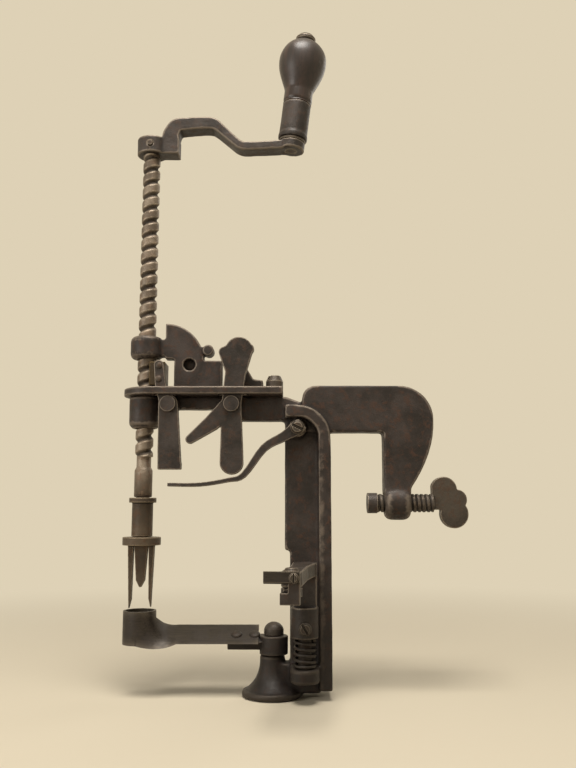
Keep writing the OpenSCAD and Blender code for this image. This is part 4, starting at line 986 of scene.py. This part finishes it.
def rivet_row(name, finish, head_r_mm, head_h_mm, count, gap_mm):
    """A row of domed rivet heads along X from 0, standing up in Z."""
    recipe = Recipe(name, {
        "Head radius": head_r_mm * MM, "Head height": head_h_mm * MM, "Gap": gap_mm * MM, "Count": count,
    })
    size, add = recipe.size, recipe.add
    row = add("GeometryNodeMeshLine", {"Count": size("Count"), "Offset": recipe.point(size("Gap"), 0, 0)})
    ball = add("GeometryNodeMeshUVSphere", {
        "Segments": HEAD_SIDES, "Rings": HEAD_RINGS, "Radius": size("Head radius"),
    })
    squash = recipe.calc("DIVIDE", size("Head height"), size("Head radius"))
    dome = add("GeometryNodeTransform", {"Geometry": ball.outputs[0], "Scale": recipe.point(1, 1, squash)})
    heads = add("GeometryNodeInstanceOnPoints", {"Points": row.outputs[0], "Instance": dome.outputs[0]})
    return recipe.mesh(heads.outputs[0], finish)


print("rivet tree ready")

# %% Rivets of the half nut's shoe
SHOE_HEAD_R = 1.53
SHOE_HEAD_H = 0.7
RIVET_SKIN = {"swell_mm": 0.0, "tooth_mm": 0.01, "rub_mm": SMALL_RUB}
shoe_low, shoe_high = (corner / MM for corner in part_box("shoe_rivets"))
shoe_gap = shoe_high.z - shoe_low.z - 2 * SHOE_HEAD_R
shoe_row = rivet_row(
    "shoe_rivet_row", "dark_steel", SHOE_HEAD_R, SHOE_HEAD_H, count=2, gap_mm=shoe_gap)
shoe_place = Vector(((shoe_low.x + shoe_high.x) / 2, shoe_low.y + SHOE_HEAD_H, shoe_low.z + SHOE_HEAD_R))
# The row runs up, and the domes point to the front.
to_front = Matrix(((0, -1, 0), (0, 0, -1), (1, 0, 0))).to_4x4()
shoe_row.transform(Matrix.Translation(shoe_place * MM) @ to_front)
finished("shoe_rivet_heads", shoe_row, "dark_steel", "shoe_rivets", **RIVET_SKIN)

# %% Rivets of the knife
KNIFE_HEAD_R = 2.47
KNIFE_HEAD_H = 1.0
BLADE_T = 0.9
BLADE_RISE = 3.0
blade_tilt = math.radians(27)
ring_low, ring_high = (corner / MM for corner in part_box("coring_ring"))
blade_z = ring_low.z + BLADE_RISE
knife_low, knife_high = (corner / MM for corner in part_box("knife_rivets"))
knife_gap = knife_high.x - knife_low.x - 2 * KNIFE_HEAD_R
on_blade = Matrix.Translation((0, 0, blade_z * MM)) @ Matrix.Rotation(blade_tilt, 4, "X")
knife_row = rivet_row(
    "knife_rivet_row", "dark_steel", KNIFE_HEAD_R, KNIFE_HEAD_H, count=2, gap_mm=knife_gap)
knife_row.transform(on_blade @ Matrix.Translation(Vector((knife_low.x + KNIFE_HEAD_R, 0, BLADE_T)) * MM))
finished("knife_rivet_heads", knife_row, "dark_steel", "knife_rivets", **RIVET_SKIN)

# %% [markdown]
# ## Knife strip
# Coring ring and slicing knife are one bent strip of steel: upright round the core, then twisted over until
# it lies nearly flat and slices. A middle line with a lean at each point holds that rule, and the tree
# sweeps a section with one ground edge along it. The CAD model keeps ring and knife as two nodes, so the
# strip stands for both.

# %% Path of the knife strip
TWIST_END = -68.5
TWIST_SAG = 0.8
BLADE_END = -32.3
RING_START = -446
RING_SWEEP = 356
RING_STEPS = 72
TWIST_STEPS = 30
BLADE_STEPS = 24


def knife_path():
    """Points of the strip's middle line in millimetres, each with the strip's lean from upright."""
    centre = (ring_low + ring_high) / 2
    radius = (ring_high.x - ring_low.x - BLADE_T) / 2
    points = []
    for k in range(RING_STEPS):
        a = math.radians(RING_START + RING_SWEEP * k / (RING_STEPS - 1))
        points.append((centre + Vector((radius * math.cos(a), radius * math.sin(a), 0)), 0.0))
    start = points[-1][0]
    blade_up = Vector((0, -math.sin(blade_tilt), math.cos(blade_tilt)))
    end = Vector((TWIST_END, 0, blade_z)) + BLADE_T / 2 * blade_up
    for k in range(1, TWIST_STEPS + 1):
        t = k / TWIST_STEPS
        ease = 0.5 - 0.5 * math.cos(math.pi * t)
        x = start.x + (end.x - start.x) * t
        sag = TWIST_SAG * math.sin(math.pi * t)
        points.append((
            Vector((x, start.y + (end.y - start.y) * ease, start.z + (end.z - start.z) * ease - sag)),
            (blade_tilt - math.pi / 2) * ease))
    for k in range(1, BLADE_STEPS + 1):
        x = TWIST_END + (BLADE_END - TWIST_END) * k / BLADE_STEPS
        points.append((Vector((x, end.y, end.z)), blade_tilt - math.pi / 2))
    return points


strip_path = knife_path()
print("points on the strip's path:", len(strip_path))

# %% Knife strip
STRIP_W = 14.4
BEVEL = 1.6
SECTION_CUTS = 7


def strip_along(name, finish, points, width_mm, thickness_mm, bevel_mm):
    """A flat strip that follows points, leans as they say and has one sharpened edge."""
    path = bpy.data.meshes.new(name)
    path.from_pydata([point * MM for point, _ in points], [(k, k + 1) for k in range(len(points) - 1)], [])
    lean = path.attributes.new("lean", "FLOAT", "POINT")
    lean.data.foreach_set("value", [angle for _, angle in points])
    recipe = Recipe(name, {
        "Width": width_mm * MM, "Thickness": thickness_mm * MM, "Bevel": bevel_mm * MM,
    })
    size, add, calc = recipe.size, recipe.add, recipe.calc
    line = add("GeometryNodeMeshToCurve", {"Mesh": size("Path")}).outputs[0]
    upright = add("GeometryNodeSetCurveNormal", {"Curve": line}, mode="Z_UP")
    read_lean = add("GeometryNodeInputNamedAttribute", {"Name": "lean"}, data_type="FLOAT").outputs[0]
    leant = add("GeometryNodeSetCurveTilt", {"Curve": upright.outputs[0], "Tilt": read_lean}).outputs[0]
    half_w = calc("MULTIPLY", size("Width"), 0.5)
    half_t = calc("MULTIPLY", size("Thickness"), 0.5)
    low_w = calc("MULTIPLY", half_w, -1.0)
    low_t = calc("MULTIPLY", half_t, -1.0)
    ground = calc("SUBTRACT", half_w, size("Bevel"))
    section = add("GeometryNodeCurvePrimitiveQuadrilateral", {
        "Point 1": recipe.point(low_t, low_w, 0), "Point 2": recipe.point(half_t, low_w, 0),
        "Point 3": recipe.point(half_t, half_w, 0), "Point 4": recipe.point(low_t, ground, 0),
    }, mode="POINTS")
    finer = add("GeometryNodeSubdivideCurve", {"Curve": section.outputs[0], "Cuts": SECTION_CUTS})
    strip = add("GeometryNodeCurveToMesh", {
        "Curve": leant, "Profile Curve": finer.outputs[0], "Fill Caps": True,
    })
    return recipe.mesh(strip.outputs[0], finish, path)


knife = strip_along("knife_strip", "blade_steel", strip_path, STRIP_W, BLADE_T, BEVEL)
strip_piece = finished("knife_strip", knife, "blade_steel", "slicing_knife", swell_mm=0.0, tooth_mm=0.0)
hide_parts("slicing_knife", "coring_ring")

# %% [markdown]
# ## Handle
# Ferrule and grip are turned about the handle's own axis, which the frame gives as a joint. The grip is a
# ball whose radius eases out into a slim neck, so that no seam shows between the two.

# %% Handle grip
FERRULE_FOOT = 1.3
FERRULE_L = 18.5
BEAD_BULGE = 0.25
GRIP_L = 32.9
GRIP_STEPS = 90
HEAD_R = 5.35
TAPER_L = 16.0
TAPER_POWER = 1.5
NECK_STEP = 0.2
NECK_GROOVE = 0.5
GROOVE_AT = 0.7
GROOVE_W = 0.6
PEG_INSET = 2.0
PEG_L = 1.0
ferrule_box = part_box("handle_ferrule")
grip_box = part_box("handle_grip")
ferrule_r = (ferrule_box[1].y - ferrule_box[0].y) / 2 / MM - BEAD_BULGE
grip_r = (grip_box[1].y - grip_box[0].y) / 2 / MM
handle_frame = Matrix.Translation(handle_foot) @ Matrix.Rotation(handle_lean, 4, "Y")
wood_foot = FERRULE_FOOT + FERRULE_L


def grip_radius(height):
    """Radius of the grip at a height above the ferrule, in millimetres."""
    centre = GRIP_L - math.sqrt(grip_r ** 2 - HEAD_R ** 2)
    if height > centre:
        return math.sqrt(grip_r ** 2 - (height - centre) ** 2)
    neck = ferrule_r + NECK_STEP
    groove = NECK_GROOVE * math.exp(-((height - GROOVE_AT) / GROOVE_W) ** 2)
    share = max(0.0, 1 - ((centre - height) / TAPER_L) ** 2)
    return neck + (grip_r - neck) * share ** TAPER_POWER - groove


heights = [GRIP_L * k / GRIP_STEPS for k in range(GRIP_STEPS + 1)]
hidden_peg = [(ferrule_r - PEG_INSET, wood_foot - PEG_L)]
grip = turned(hidden_peg + [(grip_radius(height), wood_foot + height) for height in heights], sides=72)
grip.transform(handle_frame)
finished("turned_grip", grip, "dark_wood", "handle_grip", swell_mm=0.12, tooth_mm=0.01)

# %% Handle ferrule
BEAD_H = 2.4
BEAD_STEPS = 8
SLEEVE_STEPS = 13
FOOT_INSET = 0.9
sleeve_foot = FERRULE_FOOT + BEAD_H
sleeve_l = FERRULE_L - BEAD_H - EDGE
ferrule_profile = [(ferrule_r - FOOT_INSET, FERRULE_FOOT)]
for k in range(BEAD_STEPS + 1):
    a = math.pi * k / BEAD_STEPS
    bead_z = FERRULE_FOOT + BEAD_H * (0.5 - 0.5 * math.cos(a))
    ferrule_profile.append((ferrule_r + BEAD_BULGE * math.sin(a), bead_z))
for k in range(1, SLEEVE_STEPS + 1):
    ferrule_profile.append((ferrule_r, sleeve_foot + sleeve_l * k / SLEEVE_STEPS))
ferrule_profile.append((ferrule_r - EDGE, wood_foot))
ferrule = turned(ferrule_profile, sides=64)
ferrule.transform(handle_frame)
finished("handle_sleeve", ferrule, "worn_iron", "handle_ferrule", swell_mm=0.06, tooth_mm=0.01)

# %% [markdown]
# ## Sizes
# The box of the CAD model was kept at the start.
